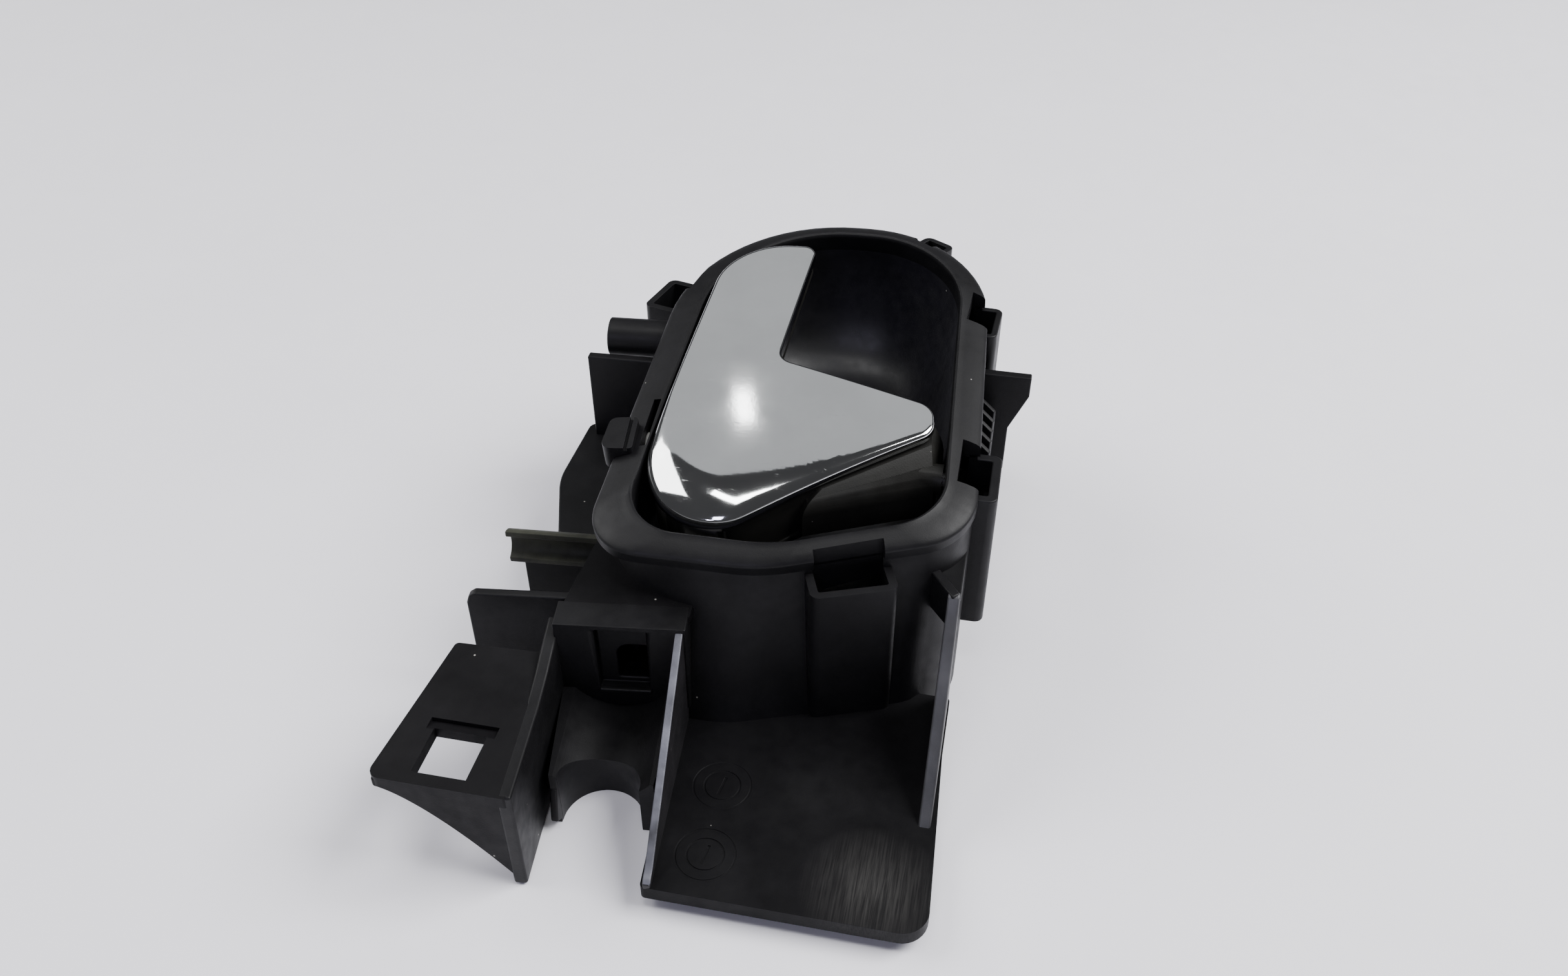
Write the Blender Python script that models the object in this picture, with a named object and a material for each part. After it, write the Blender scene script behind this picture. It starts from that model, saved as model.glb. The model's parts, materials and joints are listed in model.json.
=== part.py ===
"""Interior car door handle: a black moulded housing with an oval finger bowl, and a chromed L-shaped
pull lever on a cross pin.  Frame: +X along the hinge pin, +Y from the fixing plate to the far end of
the oval, +Z up.  The origin is the middle of the bounding box's underside.

All shapes are worked out in millimetres in a drawing frame whose origin is the near left corner of
the fixing plate.  One empty moves them to the object's own frame, and MM turns them into metres.
"""
import math

import bmesh
import bpy
from mathutils import Matrix, Vector

MM = 0.001
GAP = 0.3                      # clearance between neighbouring solids
ARC_STEPS = 6                  # segments in each rounded corner

# Where the drawing frame's origin lies in the object's own frame
DRAWING_ORIGIN = (-4.81, -86.0, 0.0)

# Bezel plane: the oval's middle, and how much its far end rises
BEZEL_CENTRE = (13.5, 110.0, 58.6)
BEZEL_TILT = math.radians(10)
RIM_DROP = 2.8                 # the rim falls this much from its opening to its outer edge
RIM_EDGE = RIM_DROP + 2.2      # the underside of the rim's outer edge
WALL = 1.8                     # wall thickness of skirt and bowl
BOWL_DEPTH = 35.0

# Oval outlines in the bezel plane: corner x, corner y, radius
OUTER_RIM = ((-41.5, -58.0, 14), (-1.5, -57.5, 40), (42.3, -42.6, 16), (35.5, 60.0, 33), (-40.2, 61.3, 50))
OPENING = ((-34.2, -53.8, 13), (0.5, -52.8, 38), (34.8, -40.0, 15), (30.3, 53.8, 27), (-33.7, 53.8, 40))
# The skirt's foot on the plate and on the table, in the drawing frame
SKIRT_FOOT = ((-29.0, 43.5, 12), (6.0, 44.5, 26), (54.5, 62.5, 20), (50.5, 167.0, 30), (-27.5, 168.5, 46))
FOOT_STEP_Y = 60.5             # nearer than this the foot stands on the plate

# Fixing plate
PLATE_BOTTOM = 3.0
PLATE_TOP = 6.4
PLATE = ((0.3, 0.5, 1), (56.0, 0.5, 5.5), (54.0, 46.0, 1), (54.0, 60.0, 1), (-5.0, 60.0, 1), (-5.0, 45.0, 1))

# Cable channel, turned a little against the plate
CHANNEL_TURN = math.radians(7.6)
CHANNEL_FLOOR_TOP = 10.4
NOTCH_CENTRE = (-14.2, 17.4)
NOTCH_RADIUS = 8.6

# Fixing bracket with the square hole
BRACKET_TOP = 27.5
BRACKET_THICKNESS = 2.8
BRACKET = ((-54.1, 0.2, 2), (-27.0, 0.2, 0.5), (-32.6, 37.6, 0.5), (-50.7, 36.8, 1))
HOLE_CENTRE = (-40.0, 8.6)
HOLE_SIDE = 11.2

# Flange and guide arms on the left
FLANGE_TOP = 25.0
ARM_RADIUS = 4.8
ARM_WALL = 1.5

# Clip pockets round the skirt
NOTCH_BITE = 3.0               # how far a pocket's notch cuts into the rim's outer edge
NOTCH_DEPTH = 12.0

# Lever, in the bezel plane
LEVER = ((-32.1, -49.3, 17.0), (-10.1, -49.3, 11.8), (30.2, -17.5, 5.5), (28.8, -9.6, 5), (-8.6, -0.6, 4),
         (-7.2, 43.2, 3), (-29.4, 41.6, 18))
DEEP_BODY = ((-32.1, -49.3, 17.0), (-10.1, -49.3, 11.8), (30.2, -17.5, 5.5), (28.8, -9.6, 5), (-8.6, -6.0, 4),
             (-31.0, -6.0, 4))
CAP_TOP = 3.2
CAP_UNDERSIDE = -0.6
CARRIER_PLATE = 3.6
CARRIER_DEPTH = 15.0
CARRIER_WALL = 2.2
PIN_Y = -24.0
PIN_Z = -6.2
PIN_RADIUS = 1.6
PIN_ENDS = (-33.9, 36.0)
BUSH_RADIUS = 2.6
LEFT_BUSH = (-35.5, -31.9)     # along the pin
RIGHT_BUSH = (34.0, 37.2)
BOSS_RADIUS = 3.4
BOSSES = ((-16.0, -12.0), (12.0, 16.0), (17.0, 32.9))
CRANK_X = -24.0
CRANK_WIDTH = 5.0
CRANK_DEPTH = 7.0
CRANK_LENGTH = 22.0
LEVER_TRAVEL = math.radians(35)


# ---------------------------------------------------------------- scene and materials

def clear_scene():
    for item in list(bpy.data.objects):
        bpy.data.objects.remove(item, do_unlink=True)


def new_collection(name):
    collection = bpy.data.collections.new(name)
    bpy.context.scene.collection.children.link(collection)
    return collection


def new_material(name, colour, roughness, metallic=0.0):
    material = bpy.data.materials.new(name)
    material.use_nodes = True
    shader = material.node_tree.nodes["Principled BSDF"]
    shader.inputs["Base Color"].default_value = (*colour, 1.0)
    shader.inputs["Roughness"].default_value = roughness
    shader.inputs["Metallic"].default_value = metallic
    return material


def new_empty(name, location, parent=None, tilt=0.0, turn=0.0):
    empty = bpy.data.objects.new(name, None)
    empty.empty_display_size = 0.01
    empty.location = Vector(location) * MM
    empty.rotation_euler = (tilt, 0.0, turn)
    empty.parent = parent
    PARTS.objects.link(empty)
    return empty


def new_part(name, bm, material, parent, smooth=False):
    """Turns a bmesh drawn in millimetres into a named object in metres."""
    bmesh.ops.scale(bm, vec=(MM, MM, MM), verts=bm.verts)
    bmesh.ops.recalc_face_normals(bm, faces=bm.faces)
    if bm.calc_volume(signed=True) < 0.0:
        bmesh.ops.reverse_faces(bm, faces=bm.faces)
    mesh = bpy.data.meshes.new(name)
    bm.to_mesh(mesh)
    bm.free()
    if smooth:
        mesh.shade_smooth()
        mesh.set_sharp_from_angle(angle=math.radians(30))
    part = bpy.data.objects.new(name, mesh)
    part.parent = parent
    if material is None:
        part.hide_render = True
        part.display_type = "WIRE"
        CUTTERS.objects.link(part)
    else:
        mesh.materials.append(material)
        PARTS.objects.link(part)
    return part


def boolean(part, tool, operation="DIFFERENCE"):
    modifier = part.modifiers.new(operation.title() + "_" + tool.name, "BOOLEAN")
    modifier.operation = operation
    modifier.solver = "EXACT"
    modifier.object = tool


# ---------------------------------------------------------------- outlines

def inset(corners, distance):
    """Moves every edge of an anticlockwise outline inwards, and tightens its corner radii."""
    moved = []
    count = len(corners)
    for i in range(count):
        before, here, after = (Vector(corners[(i + k) % count][:2]) for k in (-1, 0, 1))
        edge_in = (here - before).normalized()
        edge_out = (after - here).normalized()
        normal_in = Vector((-edge_in.y, edge_in.x))
        normal_out = Vector((-edge_out.y, edge_out.x))
        turn = edge_in.cross(edge_out)
        share = distance / (1.0 + normal_in.dot(normal_out))
        point = here + (normal_in + normal_out) * share
        radius = corners[i][2] - math.copysign(distance, turn)
        moved.append((point.x, point.y, max(radius, 0.4)))
    return moved


def rounded(corners, steps=ARC_STEPS):
    """The points of an outline whose corners are arcs of their own radius."""
    points = []
    count = len(corners)
    for i in range(count):
        before, here, after = (Vector(corners[(i + k) % count][:2]) for k in (-1, 0, 1))
        radius = corners[i][2]
        back = (before - here).normalized()
        ahead = (after - here).normalized()
        half = back.angle(ahead) / 2.0
        centre = here + (back + ahead).normalized() * radius / math.sin(half)
        start = here + back * radius / math.tan(half) - centre
        sweep = start.angle_signed(here + ahead * radius / math.tan(half) - centre)
        for step in range(steps + 1):
            arm = start.copy()
            arm.rotate(Matrix.Rotation(-sweep * step / steps, 2))
            points.append(centre + arm)
    return points


def bezel_point(x, y, z=0.0):
    """A point of the bezel plane, or z above it, in the drawing frame."""
    point = Vector((x, y, z))
    point.rotate(Matrix.Rotation(BEZEL_TILT, 3, "X"))
    return point + Vector(BEZEL_CENTRE)


# ---------------------------------------------------------------- solids

def box(name, size, centre, material, parent, turn=0.0):
    bm = bmesh.new()
    bmesh.ops.create_cube(bm, size=1.0)
    bmesh.ops.scale(bm, vec=size, verts=bm.verts)
    bmesh.ops.rotate(bm, cent=(0, 0, 0), matrix=Matrix.Rotation(turn, 3, "Z"), verts=bm.verts)
    bmesh.ops.translate(bm, vec=centre, verts=bm.verts)
    return new_part(name, bm, material, parent)


def rod(name, radius, length, centre, material, parent, axis="Z", sides=24):
    bm = bmesh.new()
    bmesh.ops.create_cone(bm, cap_ends=True, segments=sides, radius1=radius, radius2=radius, depth=length)
    if axis == "X":
        bmesh.ops.rotate(bm, cent=(0, 0, 0), matrix=Matrix.Rotation(math.pi / 2, 3, "Y"), verts=bm.verts)
    bmesh.ops.translate(bm, vec=centre, verts=bm.verts)
    return new_part(name, bm, material, parent, smooth=True)


def slab(name, points, low, high, material, parent, frame=None):
    """A flat outline with thickness: a filled 2D curve, extruded, then made a mesh."""
    curve = bpy.data.curves.new(name, "CURVE")
    curve.dimensions = "2D"
    curve.fill_mode = "BOTH"
    curve.extrude = (high - low) / 2.0
    spline = curve.splines.new("POLY")
    spline.points.add(len(points) - 1)
    for item, point in zip(spline.points, points):
        item.co = (point[0], point[1], 0.0, 1.0)
    spline.use_cyclic_u = True
    guide = bpy.data.objects.new(name + "_outline", curve)
    guide.location = (0.0, 0.0, (low + high) / 2.0)
    PARTS.objects.link(guide)
    bpy.context.view_layer.update()
    evaluated = guide.evaluated_get(bpy.context.evaluated_depsgraph_get())
    bm = bmesh.new()
    bm.from_mesh(bpy.data.meshes.new_from_object(evaluated))
    bmesh.ops.transform(bm, matrix=guide.matrix_world, verts=bm.verts)
    bmesh.ops.remove_doubles(bm, verts=bm.verts, dist=0.001)
    if frame is not None:
        bmesh.ops.transform(bm, matrix=frame, verts=bm.verts)
    bpy.data.objects.remove(guide, do_unlink=True)
    return new_part(name, bm, material, parent)


def upright(x, y, turn=0.0):
    """The frame of a profile drawn in (along Y, up Z) and given its thickness along X, at x, y."""
    stand = Matrix(((0, 0, 1, 0), (1, 0, 0, 0), (0, 1, 0, 0), (0, 0, 0, 1)))
    return Matrix.Translation((x, y, 0)) @ Matrix.Rotation(turn, 4, "Z") @ stand


def facing(x, y, turn=0.0):
    """The frame of a profile drawn in (along X, up Z) and given its thickness towards -Y, at x, y."""
    stand = Matrix(((1, 0, 0, 0), (0, 0, -1, 0), (0, 1, 0, 0), (0, 0, 0, 1)))
    return Matrix.Translation((x, y, 0)) @ Matrix.Rotation(turn, 4, "Z") @ stand


def loft(name, rings, material, parent, smooth=True, endless=False):
    """A solid through rings with the same number of points, capped at both ends, or back to its start."""
    bm = bmesh.new()
    rows = [[bm.verts.new(point) for point in ring] for ring in rings]
    count = len(rows[0])
    pairs = list(zip(rows, rows[1:])) + ([(rows[-1], rows[0])] if endless else [])
    for lower, upper in pairs:
        for i in range(count):
            j = (i + 1) % count
            bm.faces.new((lower[i], lower[j], upper[j], upper[i]))
    if not endless:
        bm.faces.new(rows[0][::-1])
        bm.faces.new(rows[-1])
    return new_part(name, bm, material, parent, smooth)


# ---------------------------------------------------------------- bezel and bowl

def bezel_ring(corners, distance, height):
    return [bezel_point(x, y, height) for x, y in rounded(inset(corners, distance))]


def foot_ring(distance, lift=0.0):
    """The skirt's foot: on the plate at the near side, and on the table elsewhere."""
    ring = []
    for x, y in rounded(inset(SKIRT_FOOT, distance)):
        height = PLATE_TOP + GAP if y < FOOT_STEP_Y else 0.0
        ring.append(Vector((x, y, height + lift)))
    return ring


def bezel_rim(parent, material):
    """The oval band round the opening."""
    rings = [
        bezel_ring(OPENING, 0.5, -2.0),
        bezel_ring(OPENING, 0.0, 0.0),
        bezel_ring(OUTER_RIM, 0.0, -RIM_DROP),
        bezel_ring(OUTER_RIM, 0.0, -RIM_EDGE),
        bezel_ring(OPENING, 0.5, -RIM_EDGE),
    ]
    return loft("bezel_rim", rings, material, parent, endless=True)


def bowl(parent, material):
    """The finger bowl below the rim."""
    depth = -BOWL_DEPTH
    top = -RIM_EDGE - GAP
    rings = [
        bezel_ring(OPENING, 15.0, depth),
        bezel_ring(OPENING, 8.0, depth + 2.5),
        bezel_ring(OPENING, 4.2, depth + 8.0),
        bezel_ring(OPENING, 2.0, depth + 18.0),
        bezel_ring(OPENING, 0.5, depth + 24.0),
        bezel_ring(OPENING, 0.5, top),
        bezel_ring(OPENING, 0.5 - WALL, top),
        bezel_ring(OPENING, 0.5 - WALL, depth + 23.5),
        bezel_ring(OPENING, 2.0 - WALL, depth + 17.0),
        bezel_ring(OPENING, 4.2 - WALL, depth + 6.6),
        bezel_ring(OPENING, 8.0 - WALL * 0.7, depth + 0.3),
        bezel_ring(OPENING, 15.0, depth - WALL),
    ]
    return loft("bowl", rings, material, parent)


def skirt(parent, material):
    """The wall below the rim's outer edge, down to the plate and the table."""
    top = -RIM_EDGE - GAP
    rings = [
        bezel_ring(OUTER_RIM, 0.0, top),
        foot_ring(0.0),
        foot_ring(WALL),
        bezel_ring(OUTER_RIM, WALL, top),
    ]
    return loft("skirt", rings, material, parent, endless=True)


def housing_clearance(parent):
    """What the pieces around the skirt keep clear of: the skirt's outside, grown by the gap."""
    rings = [
        bezel_ring(OUTER_RIM, -GAP, 8.0),
        bezel_ring(OUTER_RIM, -GAP, -RIM_EDGE),
        foot_ring(-GAP, -0.8 * GAP),
        [Vector((x, y, -5.0)) for x, y, _ in foot_ring(-GAP)],
    ]
    return loft("housing_clearance", rings, None, parent)


# ---------------------------------------------------------------- plate, channel and bracket

def base_plate(parent, material, clearance):
    plate = slab("base_plate", rounded(PLATE, 4), PLATE_BOTTOM, PLATE_TOP, material, parent)
    boolean(plate, clearance)
    return plate


def channel_rib(parent, material):
    """The tall rib between the plate and the channel, high at the bowl and low at the near edge."""
    low = PLATE_TOP + GAP
    profile = ((0.5, low), (43.0, low), (43.0, 31.0), (3.0, 8.2), (0.5, 8.2))
    frame = upright(1.6, 0.5, math.radians(5.6))
    return slab("channel_rib", profile, -1.2, 1.2, material, parent, frame)


def side_wall(parent, material):
    """The wall along the plate's right edge, which rises towards the bowl."""
    low = PLATE_TOP + GAP
    profile = ((26.0, low), (58.5, low), (58.5, 35.0), (55.0, 33.5), (26.0, low + 0.6))
    return slab("side_wall", profile, -1.3, 1.3, material, parent, upright(52.4, 0.0))


def channel_floor(parent, material):
    """The floor between the channel's walls, with the round notch and its deep lip."""
    outline = ((-23.6, 16.0), (-4.6, 18.6), (-6.6, 44.0), (-28.6, 40.8))
    floor = slab("channel_floor", outline, 0.0, CHANNEL_FLOOR_TOP, material, parent)
    boolean(floor, rod("notch_cutter", NOTCH_RADIUS, 30, (*NOTCH_CENTRE, 5), None, parent, sides=32))
    boolean(floor, box("notch_mouth_cutter", (2 * NOTCH_RADIUS, 12, 30), (NOTCH_CENTRE[0], 11.4, 5),
                       None, parent))
    boolean(floor, box("channel_hollow_cutter", (17.0, 13.0, 16), (-16.6, 36.2, -0.6), None, parent,
                       CHANNEL_TURN))
    return floor


def channel_wall(parent, material):
    """The wall that carries the bracket's inner side and bounds the channel."""
    profile = ((0.2, 0.3), (41.6, 0.3), (41.6, 27.5), (0.2, 27.5))
    frame = upright(-25.6, 0.0, math.radians(8.9))
    return slab("channel_wall", profile, -1.1, 1.1, material, parent, frame)


def bracket_plate(parent, material):
    """The fixing bracket's top, with its square hole."""
    low = BRACKET_TOP - BRACKET_THICKNESS
    plate = slab("bracket_plate", rounded(BRACKET, 3), low, BRACKET_TOP, material, parent)
    size = (HOLE_SIDE, HOLE_SIDE, 12)
    boolean(plate, box("square_hole_cutter", size, (*HOLE_CENTRE, low), None, parent))
    return plate


def bracket_web(parent, material):
    """The front face below the bracket's near edge, with its hollow curved underside."""
    left, right, top = -53.0, -27.2, BRACKET_TOP - BRACKET_THICKNESS - GAP
    curve = []
    for step in range(13):
        share = step / 12
        curve.append((left + (right - left) * share, top - 1.0 - (top - 1.3) * share ** 1.5))
    profile = curve + [(right, top), (left, top)]
    return slab("bracket_web", profile, -1.2, 1.2, material, parent, facing(0.0, 1.6))


# ---------------------------------------------------------------- towers, arms and flanges

def cable_tower(parent, material):
    """The thick wall at the channel's end, with the stepped window that the cable passes."""
    frame = Matrix.Translation((-16.8, 44.6, 0)) @ Matrix.Rotation(CHANNEL_TURN, 4, "Z")
    outline = ((-12.2, -2.4), (14.4, -2.4), (14.4, 4.2), (-12.2, 4.2))
    low = CHANNEL_FLOOR_TOP + GAP
    tower = slab("cable_tower", outline, low, 34.0, material, parent, frame)
    boolean(tower, box("tower_recess_cutter", (11.0, 4.0, 17.5), (-15.6, 42.8, 24.0), None, parent,
                       CHANNEL_TURN))
    boolean(tower, box("tower_window_cutter", (6.4, 20.0, 8.0), (-14.6, 45.0, 18.6), None, parent,
                       CHANNEL_TURN))
    return tower


def rear_flange(parent, material):
    """The upright flange left of the cable tower."""
    profile = ((-21.6, 5.0), (0.0, 5.0), (0.0, 32.6), (-20.0, 32.6), (-21.6, 30.2))
    frame = facing(-30.4, 50.4, CHANNEL_TURN)
    return slab("rear_flange", profile, -1.1, 1.1, material, parent, frame)


def half_pipe(start, end):
    """The section of a guide arm: an arc of pipe, as points in (Y, Z)."""
    outer, inner = [], []
    for step in range(11):
        angle = math.radians(start + (end - start) * step / 10)
        outer.append((ARM_RADIUS * math.cos(angle), ARM_RADIUS * math.sin(angle)))
        inner.append(((ARM_RADIUS - ARM_WALL) * math.cos(angle), (ARM_RADIUS - ARM_WALL) * math.sin(angle)))
    return outer + inner[::-1]


def guide_arm(name, centre, length, arc, parent, material, clearance):
    """A half-round arm that holds the wiring, standing out from the skirt."""
    x, y, z = centre
    profile = [(py, pz + z) for py, pz in half_pipe(*arc)]
    arm = slab(name, profile, 0.0, length, material, parent, upright(x, y, math.radians(5)))
    boolean(arm, clearance)
    return arm


def arm_web(parent, material, clearance):
    """The upright web below the lower arm."""
    profile = ((-17.0, 13.4), (4.0, 13.4), (4.0, 24.4), (-17.0, 24.4))
    web = slab("arm_web", profile, -1.1, 1.1, material, parent, facing(-30.0, 70.0, math.radians(5)))
    boolean(web, clearance)
    return web


def side_plate(parent, material, clearance):
    """The upright plate left of the bowl, which stands on the side flange below the upper arm."""
    low = FLANGE_TOP + GAP
    profile = ((-19.3, low), (4.0, low), (4.0, 49.0), (-19.3, 49.0))
    plate = slab("side_plate", profile, -1.2, 1.2, material, parent, facing(-27.0, 121.0, math.radians(3)))
    boolean(plate, clearance)
    return plate


def base_flange(parent, material, clearance):
    """The level flange along the bowl's left side, half way up."""
    corners = ((-42.4, 78.0, 3), (-20.0, 78.0, 2), (-20.0, 123.6, 2), (-49.0, 123.6, 2), (-49.4, 99.0, 24))
    flange = slab("base_flange", rounded(corners, 5), FLANGE_TOP - 2.6, FLANGE_TOP, material, parent)
    boolean(flange, clearance)
    return flange


def clip_tower(name, place, turn, size, wall, heights, parent, material, clearance, walls):
    """A three-sided pocket on the skirt for a trim clip, open at the top through a notch in the rim."""
    width, reach = size
    half = width / 2.0
    outline = [(-half, -8), (-half, reach), (half, reach), (half, -8), (half - wall, -8),
               (half - wall, reach - wall), (wall - half, reach - wall), (wall - half, -8)]
    frame = Matrix.Translation((*place, 0)) @ Matrix.Rotation(turn, 4, "Z")
    tower = slab(name, outline[::-1], heights[0], heights[1], material, parent, frame)
    boolean(tower, clearance)
    inner = half - wall
    mouth = ((-inner, -NOTCH_BITE), (inner, -NOTCH_BITE), (inner, reach), (-inner, reach))
    notch = slab(name + "_notch_cutter", mouth, heights[1] - NOTCH_DEPTH, heights[1] + 20.0, None, parent,
                 frame)
    for item in walls:
        boolean(item, notch)


def clip_towers(parent, material, clearance, walls):
    common = (parent, material, clearance, walls)
    clip_tower("front_clip_tower", (30.6, 58.3), math.radians(201), (18.6, 5.6), 1.8,
               (PLATE_TOP + GAP, 42.6), *common)
    clip_tower("right_clip_tower", (50.8, 88.0), math.radians(-90), (17.0, 5.8), 1.8, (14.0, 50.0), *common)
    clip_tower("right_rear_clip_tower", (49.6, 139.0), math.radians(-93), (14.0, 4.8), 1.6, (30.0, 59.0),
               *common)
    clip_tower("far_clip_tower", (33.6, 165.0), math.radians(-32), (9.0, 5.4), 1.5, (44.0, 63.5), *common)
    clip_tower("left_rear_clip_tower", (-25.0, 142.5), math.radians(76), (15.0, 8.6), 1.8, (24.0, 54.2),
               *common)


def right_bracket(parent, material, clearance):
    """The upright gusset on the skirt's right side, with its sloping edge."""
    profile = ((-6.0, 24.0), (5.6, 24.0), (5.6, 42.0), (9.2, 48.0), (9.2, 51.4), (-6.0, 51.4))
    bracket = slab("right_bracket", profile, -1.2, 1.2, material, parent, facing(54.4, 127.4))
    boolean(bracket, clearance)
    return bracket


def corner_gusset(parent, material, clearance):
    """The small level web between the rim's corner and the side wall."""
    outline = ((41.6, 60.0), (51.0, 63.6), (53.6, 66.4), (53.6, 78.4), (44.0, 82.0))
    gusset = slab("corner_gusset", outline, 36.6, 39.0, material, parent)
    boolean(gusset, clearance)
    return gusset


# ---------------------------------------------------------------- lever and hinge

def lever_cap(parent, material):
    """The chromed cover: the L outline with a crowned edge, pinned to the lever's axis."""
    stack = ((0.0, CAP_UNDERSIDE), (0.0, 1.2), (0.5, 2.2), (1.6, 2.9), (3.4, CAP_TOP))
    rings = [[(x, y - PIN_Y, z - PIN_Z) for x, y in rounded(inset(LEVER, d))] for d, z in stack]
    return loft("lever_cap", rings, material, parent)


def lever_carrier(parent, material):
    """The black body below the cap: an L plate, a hollow deep part, bosses and the crank."""
    top = CAP_UNDERSIDE - GAP
    shift = Matrix.Translation((0, -PIN_Y, -PIN_Z))
    carrier = slab("lever_carrier", rounded(inset(LEVER, 0.7), 5), top - CARRIER_PLATE, top, material,
                   parent, shift)
    deep = slab("deep_body", rounded(inset(DEEP_BODY, 0.8), 5), top - CARRIER_DEPTH, top - 1.0, None,
                parent, shift)
    hollow = slab("deep_hollow_cutter", rounded(inset(DEEP_BODY, 0.8 + CARRIER_WALL), 5),
                  top - CARRIER_DEPTH - 2.0, top - CARRIER_PLATE, None, parent, shift)
    boolean(carrier, deep, "UNION")
    boolean(carrier, hollow)
    crank_z = -CRANK_LENGTH / 2.0
    crank = box("crank_arm", (CRANK_WIDTH, CRANK_DEPTH, CRANK_LENGTH + 6.0), (CRANK_X, 0.0, crank_z + 1.5), None,
                parent)
    boolean(carrier, crank, "UNION")
    for low, high in BOSSES:
        boss = rod("boss", BOSS_RADIUS, high - low, ((low + high) / 2.0, 0, 0), None, parent, "X", 20)
        boolean(carrier, boss, "UNION")
    bore = rod("pin_bore_cutter", PIN_RADIUS + GAP, 90, (0, 0, 0), None, parent, "X", 20)
    boolean(carrier, bore)
    pocket = box("spring_pocket_cutter", (13.0, 17.0, 12.0), (0.0, 2.5, -1.6), None, parent)
    boolean(carrier, pocket)
    slot = box("cable_slot_cutter", (1.8, 9.0, 7.0), (CRANK_X, 0.0, -CRANK_LENGTH - 1.6), None, parent)
    boolean(carrier, slot)
    return carrier


def hinge_pin(parent, material):
    low, high = PIN_ENDS
    return rod("hinge_pin", PIN_RADIUS, high - low, ((low + high) / 2.0, 0, 0), material, parent, "X", 20)


def pin_bush(name, ends, parent, material, walls):
    """A bush that holds the pin's end in the bowl's wall."""
    low, high = ends
    centre = ((low + high) / 2.0, 0, 0)
    bush = rod(name, BUSH_RADIUS, high - low, centre, material, parent, "X", 20)
    boolean(bush, rod(name + "_bore_cutter", PIN_RADIUS + GAP, 9.0, centre, None, parent, "X", 20))
    seat = rod(name + "_seat_cutter", BUSH_RADIUS + GAP, 9.0, centre, None, parent, "X", 20)
    for wall in walls:
        boolean(wall, seat)
    return bush


def return_spring(parent, material):
    """The torsion spring on the pin, with one leg towards each part that it works on."""
    turns, radius, pitch, start = 5, 3.2, 1.5, -4.0
    points = [(start, radius + 6.5, 2.0)]
    for step in range(turns * 12 + 1):
        angle = 2.0 * math.pi * step / 12
        points.append((start + pitch * step / 12, radius * math.cos(angle), radius * math.sin(angle)))
    points.append((start + pitch * turns, radius + 0.5, -7.0))
    curve = bpy.data.curves.new("return_spring", "CURVE")
    curve.dimensions = "3D"
    curve.bevel_depth = 0.55 * MM
    curve.bevel_resolution = 2
    curve.use_fill_caps = True
    spline = curve.splines.new("POLY")
    spline.points.add(len(points) - 1)
    for item, point in zip(spline.points, points):
        item.co = (*(Vector(point) * MM), 1.0)
    curve.materials.append(material)
    spring = bpy.data.objects.new("return_spring", curve)
    spring.parent = parent
    PARTS.objects.link(spring)
    return spring


def stop_buffers(parent, material):
    """The rubber pads on the bowl's left wall, which the crank meets at rest and at full travel."""
    half = CRANK_DEPTH / 2.0
    box("rest_buffer", (7.0, 3.0, 5.0), (CRANK_X - 0.9, -half - 1.5 - 0.4, -19.5), material, parent)
    reach = 13.5 * math.tan(LEVER_TRAVEL) + (half + 1.5) / math.cos(LEVER_TRAVEL) + 2.4
    box("travel_buffer", (8.6, 3.0, 6.0), (CRANK_X - 1.7, reach, -13.5), material, parent)


# ---------------------------------------------------------------- assembly

def build_housing(parent, plastic):
    rim = bezel_rim(parent, plastic)
    cup = bowl(parent, plastic)
    wall = skirt(parent, plastic)
    clearance = housing_clearance(parent)
    boolean(wall, box("cable_passage_cutter", (34.2, 24.0, 37.0), (-18.0, 40.2, 17.0), None, parent,
                         CHANNEL_TURN))
    base_plate(parent, plastic, clearance)
    channel_rib(parent, plastic)
    side_wall(parent, plastic)
    channel_floor(parent, plastic)
    channel_wall(parent, plastic)
    bracket_plate(parent, plastic)
    bracket_web(parent, plastic)
    cable_tower(parent, plastic)
    rear_flange(parent, plastic)
    guide_arm("lower_guide_arm", (-50.0, 66.0, 29.6), 26.0, (-80, 85), parent, plastic, clearance)
    guide_arm("upper_guide_arm", (-43.5, 127.0, 49.4), 22.0, (5, 185), parent, plastic, clearance)
    arm_web(parent, plastic, clearance)
    side_plate(parent, plastic, clearance)
    base_flange(parent, plastic, clearance)
    clip_towers(parent, plastic, clearance, (rim, cup, wall))
    right_bracket(parent, plastic, clearance)
    corner_gusset(parent, plastic, clearance)
    return rim, cup, wall


def build_lever(axis, fixed_axis, walls, plastic):
    chrome = new_material("chrome_plating", (0.75, 0.76, 0.78), 0.12, 1.0)
    steel = new_material("spring_steel", (0.45, 0.45, 0.46), 0.35, 1.0)
    nylon = new_material("natural_nylon", (0.72, 0.70, 0.64), 0.5)
    rubber = new_material("buffer_rubber", (0.02, 0.02, 0.02), 0.8)
    lever_cap(axis, chrome)
    lever_carrier(axis, plastic)
    hinge_pin(fixed_axis, steel)
    pin_bush("left_pin_bush", LEFT_BUSH, fixed_axis, nylon, walls)
    pin_bush("right_pin_bush", RIGHT_BUSH, fixed_axis, nylon, walls)
    return_spring(fixed_axis, steel)
    stop_buffers(fixed_axis, rubber)


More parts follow.
